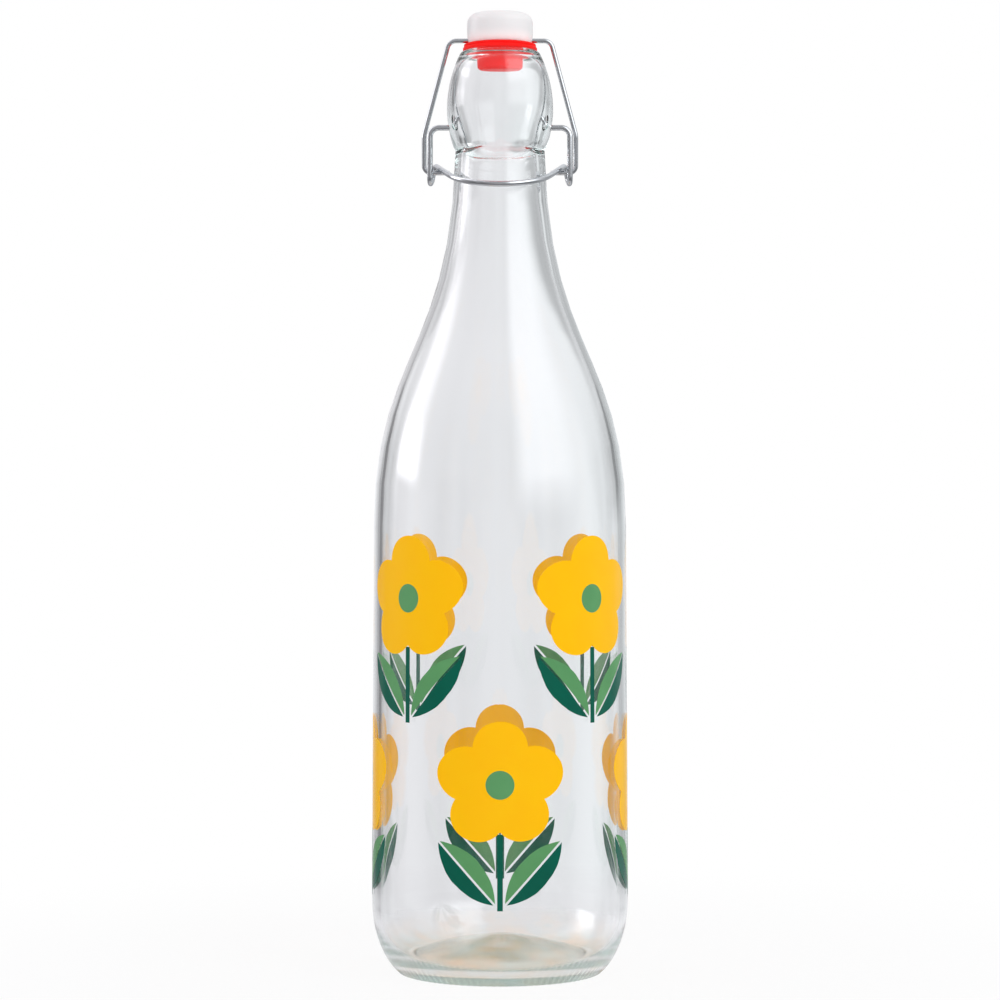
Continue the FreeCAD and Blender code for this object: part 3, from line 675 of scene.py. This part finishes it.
# Fired enamel is an even gloss film, a little deeper in colour where it was laid thicker. It is so thin
# that some light from behind comes through it.
CLOUD_SIZE = 9.0
GRAIN_SIZE = 0.5
GRAIN_HEIGHT = 0.006
ENAMEL_LETS_BY = 0.75


def enamel(name, colour, deep_colour):
    new, tree, here = material(name)
    cloud = add(tree, "ShaderNodeTexNoise", {"Vector": here, "Scale": 1 / (CLOUD_SIZE * MM), "Detail": 3.0})
    tone = add(tree, "ShaderNodeMix", {
        "Factor": cloud, "A": linear(colour), "B": linear(deep_colour),
    }, data_type="RGBA")
    grain = add(tree, "ShaderNodeTexNoise", {"Vector": here, "Scale": 1 / (GRAIN_SIZE * MM), "Detail": 2.0})
    bump = add(tree, "ShaderNodeBump", {"Height": grain, "Distance": GRAIN_HEIGHT * MM})
    gloss = add(tree, "ShaderNodeMapRange", {0: cloud, 3: 0.16, 4: 0.28})
    surface = add(tree, "ShaderNodeBsdfPrincipled", {
        "Base Color": tone.outputs["Result"], "Roughness": gloss, "Normal": bump, "Subsurface Weight": 0.2,
        "Specular IOR Level": 0.12, "Subsurface Radius": (1.0, 0.8, 0.5),
        "Subsurface Scale": INK_THICKNESS * MM,
    })
    film = letting_by(tree, surface, ENAMEL_LETS_BY, colour)
    add(tree, "ShaderNodeOutputMaterial", {"Surface": film})
    return new


right_leaf = LEAF_ANGLE
left_leaf = 180 - LEAF_ANGLE
petals = [disc(EYE_R, petal_edge, rings=12)]
deep_greens = [stem(), leaf_half(right_leaf, False), leaf_half(left_leaf, True)]
eye_corners, eye_faces = disc(EYE_MIDDLE_R, lambda angles: np.full_like(angles, EYE_R), rings=6)
eye_faces.append(list(range(DISC_STEPS)))
light_greens = [(eye_corners, eye_faces), leaf_half(right_leaf, True), leaf_half(left_leaf, False)]
body_height = BODY_TOP_Z - HEEL_HEIGHT
flower_rise = (LEAF_DROP - PETAL_REACH - PETAL_R) / 2
wrap_sizes = {
    "Columns": COLUMNS,
    "Rows": 2,
    "First Row": (HEEL_HEIGHT + body_height / 2 + flower_rise + ROW_PITCH / 2) * MM,
    "Row Pitch": ROW_PITCH * MM,
    "Foot Radius": (body_r - INK_SINK) * MM,
    "Foot Height": HEEL_HEIGHT * MM,
    "Narrowing": BODY_TAPER / body_height,
    "Thickness": INK_THICKNESS * MM,
}
prints = {
    "yellow_petals": (petals, "print_yellow", "yellow_enamel", "#FFC408", "#FFBC00"),
    "deep_green_leaves": (deep_greens, "print_deep_green", "deep_green_enamel", "#0B6450", "#075443"),
    "light_green_leaves": (light_greens, "print_light_green", "light_green_enamel", "#63A068", "#568F5D"),
}
for name, (nets, node, slot, colour, deep_colour) in prints.items():
    ink = enamel(slot, colour, deep_colour)
    film_piece = facing_out(made(name, motif(name, nets), wrap, {**wrap_sizes, "Material": ink}))
    film_piece.data.set_sharp_from_angle(angle=radians(FILM_CREASE))
    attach(film_piece, "bottle")
    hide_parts(node)


# Lever: one length of bright steel wire, bent cold. Its two tips spring into the dimples of the finish,
# each side is folded into an eye for the bail, and the hoop between them passes in front of the neck.
LEVER_WIRE_R = 0.95
LEVER_LEG_X = 23.2
LEVER_BEND_R = 3.0
LEVER_TIP_GAP = 0.35
EYE_PITCH = 1.5
EYE_FOOT_PITCH = 0.3
EYE_DEPTH = 3.45
EYE_TOP_BEND_R = 1.6
HOOP_TILT = 20.0
HOOP_REACH = 19.4
HOOP_NOSE_R = 17.6
TAIL_CLEARANCE = 0.12
BAIL_WIRE_R = 0.78
BEND_STEPS = 18
WIRE_STEPS = 24
CUT_END_CREASE = 50.0

# A bent wire follows its corners, each rounded to its own bend, and keeps marks along its length.
bender, size = geometry_tree("Bend Wire", {"Wire Radius": "Float", "Material": "Material"})
line_of_wire = add(bender, "GeometryNodeMeshToCurve", {0: size["Geometry"]})
bend_r = add(bender, "GeometryNodeInputNamedAttribute", {"Name": "bend_r"}, data_type="FLOAT")
bent = add(bender, "GeometryNodeFilletCurve", {
    "Curve": line_of_wire, "Count": BEND_STEPS, "Radius": bend_r,
}, mode="POLY")
along = add(bender, "GeometryNodeSplineParameter").outputs["Length"]
marked = add(bender, "GeometryNodeStoreNamedAttribute", {
    "Geometry": bent, "Name": "along", "Value": along,
}, data_type="FLOAT", domain="POINT")
wire_round = add(bender, "GeometryNodeCurvePrimitiveCircle", {
    "Resolution": WIRE_STEPS, "Radius": size["Wire Radius"],
})
marked_round = add(bender, "GeometryNodeStoreNamedAttribute", {
    "Geometry": wire_round, "Name": "around", "Value": add(bender, "GeometryNodeInputPosition"),
}, data_type="FLOAT_VECTOR", domain="POINT")
drawn_wire = add(bender, "GeometryNodeCurveToMesh", {
    "Curve": marked, "Profile Curve": marked_round, "Fill Caps": True,
})
ended(bender, drawn_wire, size["Material"])


def bent_wire(name, half, bends, wire_r, metal):
    """A wire from one half's corners, their mirror image, and a bend at each, all in millimetres."""
    corners = half + [Vector((-corner.x, corner.y, corner.z)) for corner in reversed(half) if corner.x]
    mesh = bpy.data.meshes.new(name)
    mesh.from_pydata([corner * MM for corner in corners], [(i, i + 1) for i in range(len(corners) - 1)], [])
    both_bends = bends + bends[::-1][len(half) * 2 - len(corners):]
    bend_r = mesh.attributes.new("bend_r", "FLOAT", "POINT")
    bend_r.data.foreach_set("value", [bend * MM for bend in both_bends])
    piece = facing_out(made(name, mesh, bender, {"Wire Radius": wire_r * MM, "Material": metal}))
    piece.data.set_sharp_from_angle(angle=radians(CUT_END_CREASE))
    return piece


# Bright drawn steel: a clean grey metal, streaked along the wire by the drawing die.
STREAK_WIDTH = 0.25
STREAK_LENGTH = 9.0
STREAK_HEIGHT = 0.006
bright_steel, tree, _ = material("bright_drawn_steel")
along_wire = add(tree, "ShaderNodeAttribute", attribute_name="along").outputs["Fac"]
around_wire = add(tree, "ShaderNodeAttribute", attribute_name="around").outputs["Vector"]
ring_x, ring_y, _ = add(tree, "ShaderNodeSeparateXYZ", {0: around_wire}).outputs
squeeze = STREAK_WIDTH / STREAK_LENGTH
squeezed = add(tree, "ShaderNodeMath", {0: along_wire, 1: squeeze}, operation="MULTIPLY")
die_lines = add(tree, "ShaderNodeCombineXYZ", {0: ring_x, 1: ring_y, 2: squeezed})
streak = add(tree, "ShaderNodeTexNoise", {
    "Vector": die_lines, "Scale": 1 / (STREAK_WIDTH * MM), "Detail": 3.0,
})
tone = add(tree, "ShaderNodeMix", {
    "Factor": streak, "A": linear("#BCC0C4"), "B": linear("#E0E2E4"),
}, data_type="RGBA")
rough = add(tree, "ShaderNodeMapRange", {0: streak, 3: 0.12, 4: 0.22})
bump = add(tree, "ShaderNodeBump", {"Height": streak, "Distance": STREAK_HEIGHT * MM})
surface = add(tree, "ShaderNodeBsdfPrincipled", {
    "Base Color": tone.outputs["Result"], "Metallic": 1.0, "Roughness": rough, "Normal": bump,
})
add(tree, "ShaderNodeOutputMaterial", {"Surface": surface})

tail = joint_at["bail_swing"] / MM
eye_half = tail.y
eye_back_y = 2 * eye_half
eye_arm_x = LEVER_LEG_X - EYE_PITCH
tilt = radians(HOOP_TILT)
nose_centre = (eye_back_y + HOOP_REACH) / cos(tilt) - HOOP_NOSE_R
arm_to_centre = hypot(eye_arm_x, nose_centre)
arm_turn = atan2(eye_arm_x, nose_centre) - asin(HOOP_NOSE_R / arm_to_centre)
hoop_reach = eye_arm_x / tan(arm_turn)
tail_drop = (LEVER_WIRE_R + BAIL_WIRE_R + TAIL_CLEARANCE) * hypot(1, tan(tilt))
eye_top_z = tail.z + tail_drop + (eye_back_y - tail.y) * tan(tilt)
eye_bottom_z = tail.z - EYE_DEPTH
pivot_z = pivot.z / MM
lever_half = [
    Vector((-DIMPLE_FLOOR_X - LEVER_TIP_GAP, 0, pivot_z)),
    Vector((-LEVER_LEG_X, 0, pivot_z)),
    Vector((-LEVER_LEG_X, 0, eye_bottom_z)),
    Vector((-LEVER_LEG_X + EYE_FOOT_PITCH, eye_back_y, eye_bottom_z)),
    Vector((-eye_arm_x, eye_back_y, eye_top_z)),
    Vector((0, eye_back_y - hoop_reach * cos(tilt), eye_top_z - hoop_reach * sin(tilt))),
]
lever_bends = [0, LEVER_BEND_R, eye_half, eye_half, EYE_TOP_BEND_R, HOOP_NOSE_R]
lever = bent_wire("bent_lever", lever_half, lever_bends, LEVER_WIRE_R, bright_steel)
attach(lever, "lever")
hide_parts("lever_wire")


# Bail: a thinner steel wire whose two tails hang in the lever's eyes. Its legs lean in to the shoulders,
# and the crossbar between them passes through the stopper's head, so that the lever pulls it down.
BAIL_SIDE_GAP = 0.25
BAIL_TAIL_LENGTH = 8.4
BAIL_TAIL_BEND_R = 2.4
BAIL_KINK_RISE = 12.4
BAIL_KINK_BEND_R = 9.0
BAIL_SHOULDER_X = 16.8
BAIL_SHOULDER_BEND_R = 3.0
bail_leg_x = LEVER_LEG_X + LEVER_WIRE_R + BAIL_SIDE_GAP + BAIL_WIRE_R
crossbar = joint_at["stopper_tilt"] / MM
bail_up = (crossbar - tail).normalized()
bail_half = [
    tail + OUTWARD * (BAIL_TAIL_LENGTH - bail_leg_x),
    tail + INWARD * bail_leg_x,
    tail + INWARD * bail_leg_x + bail_up * BAIL_KINK_RISE,
    crossbar + INWARD * BAIL_SHOULDER_X,
]
bail_bends = [0, BAIL_TAIL_BEND_R, BAIL_KINK_BEND_R, BAIL_SHOULDER_BEND_R]
bail = bent_wire("bent_bail", bail_half, bail_bends, BAIL_WIRE_R, bright_steel)
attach(bail, "bail")
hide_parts("bail_wire")


# Stopper head: moulded in translucent white polyethylene, with a cross hole for the bail and a barbed
# stem below that the gasket is pressed on. Its foot is painted pink, a painted glow of the red gasket's
# light.
HEAD_FOOT_Z = 306.85
HEAD_R = 10.9
HEAD_FOOT_R = 10.35
HEAD_FOOT_EDGE_R = 0.5
HEAD_WAIST_HEIGHT = 4.5
HEAD_EDGE_R = 3.4
HEAD_DOME = 0.7
CROSS_HOLE_GAP = 0.08
MOULDED_STEPS = 128
BARB_STEM_R = 4.4
BARB_R = 5.1
BARB_TOP_Z = 304.05
BARB_SLOPE = 0.8
BARB_LAND = 0.8
STEM_TIP_R = 3.6
STEM_TIP_Z = 300.85
head_top_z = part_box("stopper_head")[1].z / MM
head_edge_z = head_top_z - HEAD_DOME
head_waist_z = HEAD_FOOT_Z + HEAD_WAIST_HEIGHT
dome_heading = heading_at(pi - 2 * atan2(HEAD_DOME, HEAD_R))
head_edge = rounded(at(HEAD_R, head_edge_z), UP, dome_heading, HEAD_EDGE_R * MM)
head_side = arc(at(HEAD_R, head_waist_z), at(HEAD_FOOT_R, HEAD_FOOT_Z), DOWN)[::-1]
head_side_heading = (head_side[1] - head_side[0]).normalized()


def barbed_stem(gap, root_z):
    """The stem's outline from its tip at the axis up to its root, or the socket a gap outside it."""
    return straights([
        at(0, STEM_TIP_Z - gap),
        at(STEM_TIP_R + gap, STEM_TIP_Z - gap),
        at(BARB_R + gap, BARB_TOP_Z - BARB_SLOPE - BARB_LAND - gap),
        at(BARB_R + gap, BARB_TOP_Z - BARB_SLOPE + gap),
        at(BARB_STEM_R + gap, BARB_TOP_Z + gap),
        at(BARB_STEM_R + gap, root_z),
    ])


# Natural polyethylene is milky: light wanders through it. Its foot carries a painted glow, pink from the
# red gasket's light.
PAINTED_GLOW_HEIGHT = 5.0
SKIN_GRAIN = 0.6
SKIN_HEIGHT = 0.01
MILK_DEPTH = 3.0
white_polyethylene, tree, here = material("white_polyethylene")
height = add(tree, "ShaderNodeSeparateXYZ", {0: here}).outputs[2]
# Painted glow: the foot is coloured pinker towards the gasket, standing in for its red light shining
# through
glow = add(tree, "ShaderNodeMapRange", {
    0: height, 1: HEAD_FOOT_Z * MM, 2: (HEAD_FOOT_Z + PAINTED_GLOW_HEIGHT) * MM,
}, **SOFT)
tone = add(tree, "ShaderNodeMix", {
    "Factor": glow, "A": linear("#FFF4F2"), "B": linear("#E5E3E2"),
}, data_type="RGBA")
skin = add(tree, "ShaderNodeTexNoise", {"Vector": here, "Scale": 1 / (SKIN_GRAIN * MM), "Detail": 3.0})
bump = add(tree, "ShaderNodeBump", {"Height": skin, "Distance": SKIN_HEIGHT * MM})
surface = add(tree, "ShaderNodeBsdfPrincipled", {
    "Base Color": tone.outputs["Result"], "Roughness": 0.38, "Normal": bump, "Subsurface Weight": 0.5,
    "Subsurface Radius": (1.0, 0.8, 0.8), "Subsurface Scale": MILK_DEPTH * MM,
})
add(tree, "ShaderNodeOutputMaterial", {"Surface": surface})

head_outline = barbed_stem(0, HEAD_FOOT_Z) + [
    rounded(at(HEAD_FOOT_R, HEAD_FOOT_Z), OUTWARD, head_side_heading, HEAD_FOOT_EDGE_R * MM),
    arc(head_side[3], head_side[0], DOWN)[::-1],
    head_edge,
    arc(head_edge[3], at(0, head_top_z), dome_heading),
]
stopper_head = turned("moulded_stopper_head", head_outline, MOULDED_STEPS, 14, white_polyethylene)
hole_r = BAIL_WIRE_R + CROSS_HOLE_GAP
hole_corners = [at(0, -2 * HEAD_R), at(hole_r, -2 * HEAD_R), at(hole_r, 2 * HEAD_R), at(0, 2 * HEAD_R)]
drilled(stopper_head, hole_corners, joint_at["stopper_tilt"], OUTWARD, steps=32)
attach(stopper_head, "stopper")
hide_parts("stopper_head")


# Gasket: moulded in soft red silicone. A double lip lies over the rim, and below it a short seal and a
# plug hang in the mouth.
SEAT_Z = 304.8
FLANGE_R = 12.3
LOWER_LIP_THICKNESS = 0.9
LIP_GROOVE_HEIGHT = 0.5
LIP_GROOVE_DEPTH = 0.3
UPPER_LIP_SET_BACK = 0.35
LIP_EDGE_R = 0.28
SEAL_R = 8.5
SEAL_DEPTH = 0.5
SEAL_CONE_DEPTH = 0.8
PLUG_TOP_R = 7.7
PLUG_TIP_R = 7.4
PLUG_TIP_EDGE_R = 1.6
STEM_FIT = 0.05
plug_tip_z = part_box("gasket")[0].z / MM
groove_z = SEAT_Z + LOWER_LIP_THICKNESS
groove_top_z = groove_z + LIP_GROOVE_HEIGHT
upper_lip_r = FLANGE_R - UPPER_LIP_SET_BACK
# Each corner with the radius that rounds it
gasket_corners = [
    (at(PLUG_TIP_R, plug_tip_z), PLUG_TIP_EDGE_R),
    (at(PLUG_TOP_R, SEAT_Z - SEAL_DEPTH - SEAL_CONE_DEPTH), 0.6),
    (at(SEAL_R, SEAT_Z - SEAL_DEPTH), 0.2),
    (at(SEAL_R, SEAT_Z), 0.1),
    (at(FLANGE_R, SEAT_Z), LIP_EDGE_R),
    (at(FLANGE_R, groove_z), LIP_EDGE_R),
    (at(upper_lip_r - LIP_GROOVE_DEPTH, (groove_z + groove_top_z) / 2), 0.1),
    (at(upper_lip_r, groove_top_z), 0.12),
    (at(upper_lip_r, HEAD_FOOT_Z), 0.2),
]


def rounded_path(start, corners, end):
    """A path through corners, each rounded by its own radius."""
    points = [start] + [corner for corner, _ in corners] + [end]
    pieces = []
    for before, (corner, radius), after in zip(points, corners, points[2:]):
        heading = (corner - before).normalized()
        leaving = (after - corner).normalized()
        pieces.append(rounded(corner, heading, leaving, radius * MM))
    return pieces


# Silicone rubber is even and satin, clouded a little by its filler, and glows at its thin lips.
FILLER_SIZE = 3.0
GLOW_DEPTH = 1.5
red_silicone, tree, here = material("red_silicone")
cloud = add(tree, "ShaderNodeTexNoise", {"Vector": here, "Scale": 1 / (FILLER_SIZE * MM), "Detail": 2.0})
tone = add(tree, "ShaderNodeMix", {
    "Factor": cloud, "A": linear("#FD1C19"), "B": linear("#FF2724"),
}, data_type="RGBA")
rough = add(tree, "ShaderNodeMapRange", {0: cloud, 3: 0.36, 4: 0.48})
surface = add(tree, "ShaderNodeBsdfPrincipled", {
    "Base Color": tone.outputs["Result"], "Roughness": rough, "Specular IOR Level": 0.06,
    "Subsurface Weight": 0.25, "Subsurface Radius": (1.0, 0.25, 0.15), "Subsurface Scale": GLOW_DEPTH * MM,
})
add(tree, "ShaderNodeOutputMaterial", {"Surface": surface})
socket_mouth = at(BARB_STEM_R + STEM_FIT, HEAD_FOOT_Z)
gasket_outline = rounded_path(at(0, plug_tip_z), gasket_corners, socket_mouth)
gasket_outline.insert(0, straight(at(0, plug_tip_z), gasket_outline[0][0]))
gasket_outline += [piece[::-1] for piece in reversed(barbed_stem(STEM_FIT, HEAD_FOOT_Z))]
gasket = turned("moulded_gasket", gasket_outline, MOULDED_STEPS, 8, red_silicone)
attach(gasket, "stopper")
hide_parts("gasket")


# Studio: a white paper floor and white surroundings under soft light.
# The camera stands a metre off, at just under half the bottle's height, and looks level.
CAMERA_DISTANCE = 1.0
CAMERA_HEIGHT = 0.156
CAMERA_LENS = 108.6
camera = placed("camera", bpy.data.cameras.new("camera"))
camera.location = (0, -CAMERA_DISTANCE, CAMERA_HEIGHT)
camera.rotation_euler = (radians(90), 0, 0)
camera.data.lens = CAMERA_LENS
camera.data.sensor_width = 36.0
scene.camera = camera
scene.view_settings.view_transform = "Standard"
scene.cycles.max_bounces = 24
scene.cycles.transmission_bounces = 24
scene.cycles.glossy_bounces = 12
scene.cycles.transparent_max_bounces = 24

# The walls fall off to grey beside the middle of each side, which draws the edges of the glass. The
# right falls off sooner above the table, and the left hardly at all.
WALL_LEFT = 0.85
WALL_RIGHT = 0.94
SIDE_FALL = 0.45
CORNER_FALL = 0.8
CORNER_RISE = 0.45
side_shade = bpy.data.node_groups.new("Side Shade", "ShaderNodeTree")
side_shade.interface.new_socket("Direction", in_out="INPUT", socket_type="NodeSocketVector")
for output, kind in (("Lit Share", "Float"), ("Wall", "Float"), ("Tint", "Color")):
    side_shade.interface.new_socket(output, in_out="OUTPUT", socket_type="NodeSocket" + kind)
tree = side_shade
right, back, up = add(tree, "ShaderNodeSeparateXYZ", {0: add(tree, "NodeGroupInput")}).outputs
azimuth = add(tree, "ShaderNodeMath", {0: right, 1: back}, operation="ARCTAN2")
off_middle = add(tree, "ShaderNodeMath", {0: azimuth, 1: pi / 4}, operation="PINGPONG")
right_start = add(tree, "ShaderNodeMapRange", {0: up, 1: 0.0, 2: 0.13, 3: radians(15), 4: radians(2)})
right_end = add(tree, "ShaderNodeMath", {0: right_start, 1: radians(9)})
right_fall = add(tree, "ShaderNodeMapRange", {
    0: off_middle, 1: right_start, 2: right_end, 4: SIDE_FALL,
}, **SOFT)
left_low = add(tree, "ShaderNodeMapRange", {0: up, 1: 0.03, 2: 0.09, 3: SIDE_FALL, 4: 0.12})
left_high = add(tree, "ShaderNodeMapRange", {0: up, 1: 0.1, 2: 0.13, 4: 0.18})
left_depth = add(tree, "ShaderNodeMath", {0: left_low, 1: left_high})
left_start = add(tree, "ShaderNodeMapRange", {0: up, 1: 0.1, 2: 0.13, 3: radians(13), 4: radians(3)})
left_end = add(tree, "ShaderNodeMath", {0: left_start, 1: radians(12)})
left_fall = add(tree, "ShaderNodeMapRange", {
    0: off_middle, 1: left_start, 2: left_end, 4: left_depth,
}, **SOFT)
on_right = add(tree, "ShaderNodeMapRange", {0: right, 1: -0.04, 2: 0.04})
fall = add(tree, "ShaderNodeMix", {0: on_right, 2: left_fall, 3: right_fall})
right_corner = add(tree, "ShaderNodeMapRange", {
    0: up, 1: 0.0, 2: 0.05, 3: CORNER_FALL / 2, 4: CORNER_FALL,
})
corner = add(tree, "ShaderNodeMix", {0: on_right, 2: CORNER_FALL, 3: right_corner})
high_corner = add(tree, "ShaderNodeMapRange", {0: up, 1: 0.15, 2: 0.2, 3: 1.0, 4: 0.6})
corner_depth = add(tree, "ShaderNodeMath", {0: corner, 1: high_corner}, operation="MULTIPLY")
corner_fall = add(tree, "ShaderNodeMapRange", {
    0: off_middle, 1: radians(26), 2: radians(33), 4: corner_depth,
}, **SOFT)
corner_rise = add(tree, "ShaderNodeMapRange", {
    0: off_middle, 1: radians(36), 2: radians(45), 4: CORNER_RISE,
}, **SOFT)
darker = add(tree, "ShaderNodeMath", {0: fall, 1: corner_fall}, operation="MAXIMUM")
shade = add(tree, "ShaderNodeMath", {0: darker, 1: corner_rise}, operation="SUBTRACT")
shade_foot = add(tree, "ShaderNodeMapRange", {0: up, 1: -0.26, 2: -0.12, 4: shade}, **SOFT)
shade_top = add(tree, "ShaderNodeMapRange", {0: up, 1: 0.28, 2: 0.59, 3: shade_foot, 4: 0.0}, **SOFT)
lit_share = add(tree, "ShaderNodeMath", {0: 1.0, 1: shade_top}, operation="SUBTRACT")
to_right = add(tree, "ShaderNodeMapRange", {0: right, 1: -0.12, 2: 0.12})
wall = add(tree, "ShaderNodeMix", {0: to_right, 2: WALL_LEFT, 3: WALL_RIGHT})
side_wall = add(tree, "ShaderNodeMath", {0: wall, 1: lit_share}, operation="MULTIPLY")
tint = add(tree, "ShaderNodeMix", {
    "Factor": to_right, "A": linear("#FDFBFF"), "B": linear("#FAFCFF"),
}, data_type="RGBA")
add(tree, "NodeGroupOutput", {0: lit_share, 1: side_wall, 2: tint.outputs["Result"]})

# White paper, lit white all over. Near the bottle it keeps a share of the light that falls on it, for a
# faint shadow. Metal and glass see it a little greyer there, and further out see past it to the walls.
FLOOR_R = 0.34
SHADOW_SHARE = 0.13
SHADOW_NEAR = 0.1
SHADOW_FAR = 0.3
FIBRE_SIZE = 2.0
MIRRORED_FLOOR_LEFT = 0.8
MIRRORED_FLOOR_RIGHT = 0.88
white_paper, tree, here = material("white_paper")
fibres = add(tree, "ShaderNodeTexNoise", {"Vector": here, "Scale": 1 / (FIBRE_SIZE * MM), "Detail": 3.0})
tone = add(tree, "ShaderNodeMix", {
    "Factor": fibres, "A": linear("#E6E6E6"), "B": linear("#EAEAEA"),
}, data_type="RGBA")
paper = add(tree, "ShaderNodeBsdfDiffuse", {"Color": tone.outputs["Result"]})
path = add(tree, "ShaderNodeLightPath")
in_view = path.outputs["Is Camera Ray"]
from_bottle = add(tree, "ShaderNodeVectorMath", {0: here}, operation="LENGTH").outputs["Value"]
floor_x = add(tree, "ShaderNodeSeparateXYZ", {0: here}).outputs[0]
mirrored = add(tree, "ShaderNodeMapRange", {
    0: floor_x, 1: -0.06, 2: 0.06, 3: MIRRORED_FLOOR_LEFT, 4: MIRRORED_FLOOR_RIGHT,
})
white = add(tree, "ShaderNodeMix", {0: in_view, 2: mirrored, 3: 1.0})
cool_white = add(tree, "ShaderNodeMix", {
    "Factor": in_view, "A": linear("#FDFBFF"), "B": linear("#FFFFFF"),
}, data_type="RGBA")
glow = add(tree, "ShaderNodeEmission", {"Color": cool_white.outputs["Result"], "Strength": white})
through = add(tree, "ShaderNodeMath", {
    0: path.outputs["Is Glossy Ray"], 1: path.outputs["Is Transmission Ray"],
}, operation="MAXIMUM")
seen = add(tree, "ShaderNodeMath", {0: in_view, 1: through}, operation="MAXIMUM")
kept_white = add(tree, "ShaderNodeMapRange", {
    0: from_bottle, 1: SHADOW_NEAR, 2: SHADOW_FAR, 3: 1 - SHADOW_SHARE, 4: 1.0,
}, **SOFT)
glowing = add(tree, "ShaderNodeMath", {0: seen, 1: kept_white}, operation="MULTIPLY")
lit_paper = add(tree, "ShaderNodeMixShader", {0: glowing, 1: paper, 2: glow})
seen_past = add(tree, "ShaderNodeMapRange", {0: from_bottle, 1: SHADOW_NEAR, 2: SHADOW_FAR, 4: through})
gap = add(tree, "ShaderNodeBsdfTransparent")
surface = add(tree, "ShaderNodeMixShader", {0: seen_past, 1: lit_paper, 2: gap})
add(tree, "ShaderNodeOutputMaterial", {"Surface": surface})
work = bmesh.new()
bmesh.ops.create_circle(work, cap_ends=True, segments=96, radius=FLOOR_R)
floor_mesh = bpy.data.meshes.new("floor")
work.to_mesh(floor_mesh)
work.free()
floor_mesh.materials.append(white_paper)
floor = placed("floor", floor_mesh)

# The key light is a large softbox high at the front, to the right. Its mirror image is in the world.
KEY_AZIMUTH = 40.0
KEY_ELEVATION = 40.0
KEY_DISTANCE = 1.3
KEY_WIDTH = 0.6
KEY_BRIGHTNESS = 3.0
lamp = bpy.data.lights.new("key", "AREA")
lamp.shape = "SQUARE"
lamp.size = KEY_WIDTH
lamp.energy = KEY_BRIGHTNESS * pi * KEY_WIDTH ** 2
key = placed("key", lamp)
turn = radians(KEY_AZIMUTH)
rise = radians(KEY_ELEVATION)
to_key = Vector((sin(turn) * cos(rise), -cos(turn) * cos(rise), sin(rise)))
key.location = Vector((0, 0, CAMERA_HEIGHT)) + to_key * KEY_DISTANCE
key.rotation_mode = "QUATERNION"
key.rotation_quaternion = to_key.to_track_quat("Z", "Y")
key.visible_camera = False
key.visible_glossy = False
key.visible_transmission = False

# White walls all round. Mirrored, the room shows darker at the front and low down. A strip light at the
# left and the key light's large box show in every reflection.
AMBIENT = 0.96
WALL_FRONT = 0.45
ROOM_FRONT = 0.5
ROOM_BACK = 0.95
ROOM_LOW = 0.45
STRIP_BRIGHTNESS = 4.4
BOX_BRIGHTNESS = 2.1


def lamp_image(tree, brightness, edges):
    """A lamp as the walls mirror it, faded at each edge from a start to an end between two shares."""
    light = brightness
    for place, start, end, before, after in edges:
        fade = add(tree, "ShaderNodeMapRange", {0: place, 1: start, 2: end, 3: before, 4: after}, **SOFT)
        light = add(tree, "ShaderNodeMath", {0: fade, 1: light}, operation="MULTIPLY")
    return light


world = bpy.data.worlds.new("studio")
scene.world = world
world.use_nodes = True
tree = world.node_tree
tree.nodes.clear()
direction = add(tree, "ShaderNodeTexCoord").outputs["Generated"]
right, back, up = add(tree, "ShaderNodeSeparateXYZ", {0: direction}).outputs
azimuth = add(tree, "ShaderNodeMath", {0: right, 1: back}, operation="ARCTAN2")
walls = add(tree, "ShaderNodeGroup", {0: direction}, node_tree=side_shade)
front = add(tree, "ShaderNodeMapRange", {0: back, 1: -0.4, 2: 0.1, 3: WALL_FRONT, 4: 1.0})
lit_wall = add(tree, "ShaderNodeMath", {0: walls.outputs["Wall"], 1: front}, operation="MULTIPLY")
room = add(tree, "ShaderNodeMapRange", {0: back, 1: -0.4, 2: 0.5, 3: ROOM_FRONT, 4: ROOM_BACK})
low_room = add(tree, "ShaderNodeMapRange", {0: up, 1: -0.3, 2: -0.02, 3: ROOM_LOW, 4: 1.0})
shaded_room = add(tree, "ShaderNodeMath", {0: room, 1: low_room}, operation="MULTIPLY")
mirrored_walls = add(tree, "ShaderNodeMath", {
    0: shaded_room, 1: walls.outputs["Lit Share"],
}, operation="MULTIPLY")
strip = lamp_image(tree, STRIP_BRIGHTNESS, [
    (azimuth, radians(-61), radians(-70), 0.0, 1.0),
    (azimuth, radians(-100), radians(-86), 0.0, 1.0),
    (up, 0.1, 0.16, 0.0, 1.0),
    (up, 0.26, 0.36, 1.0, 0.42),
])
box = lamp_image(tree, BOX_BRIGHTNESS, [
    (azimuth, radians(171), radians(152), 0.0, 1.0),
    (azimuth, radians(84), radians(124), 0.0, 1.0),
    (up, sin(radians(2)), sin(radians(13)), 0.0, 1.0),
    (up, sin(radians(68)), sin(radians(50)), 0.0, 1.0),
])
lamps = add(tree, "ShaderNodeMath", {0: strip, 1: box})
mirrored = add(tree, "ShaderNodeMath", {0: mirrored_walls, 1: lamps})
through_glass = add(tree, "ShaderNodeMath", {0: lit_wall, 1: lamps})
path = add(tree, "ShaderNodeLightPath")
level = add(tree, "ShaderNodeMix", {0: path.outputs["Is Glossy Ray"], 2: AMBIENT, 3: mirrored})
level = add(tree, "ShaderNodeMix", {0: path.outputs["Is Transmission Ray"], 2: level, 3: through_glass})
room_light = add(tree, "ShaderNodeBackground", {"Color": walls.outputs["Tint"], "Strength": level})
white_view = add(tree, "ShaderNodeBackground", {"Color": linear("#FFFFFF"), "Strength": 1.0})
sight = add(tree, "ShaderNodeMixShader", {0: path.outputs["Is Camera Ray"], 1: room_light, 2: white_view})
add(tree, "ShaderNodeOutputWorld", {"Surface": sight})
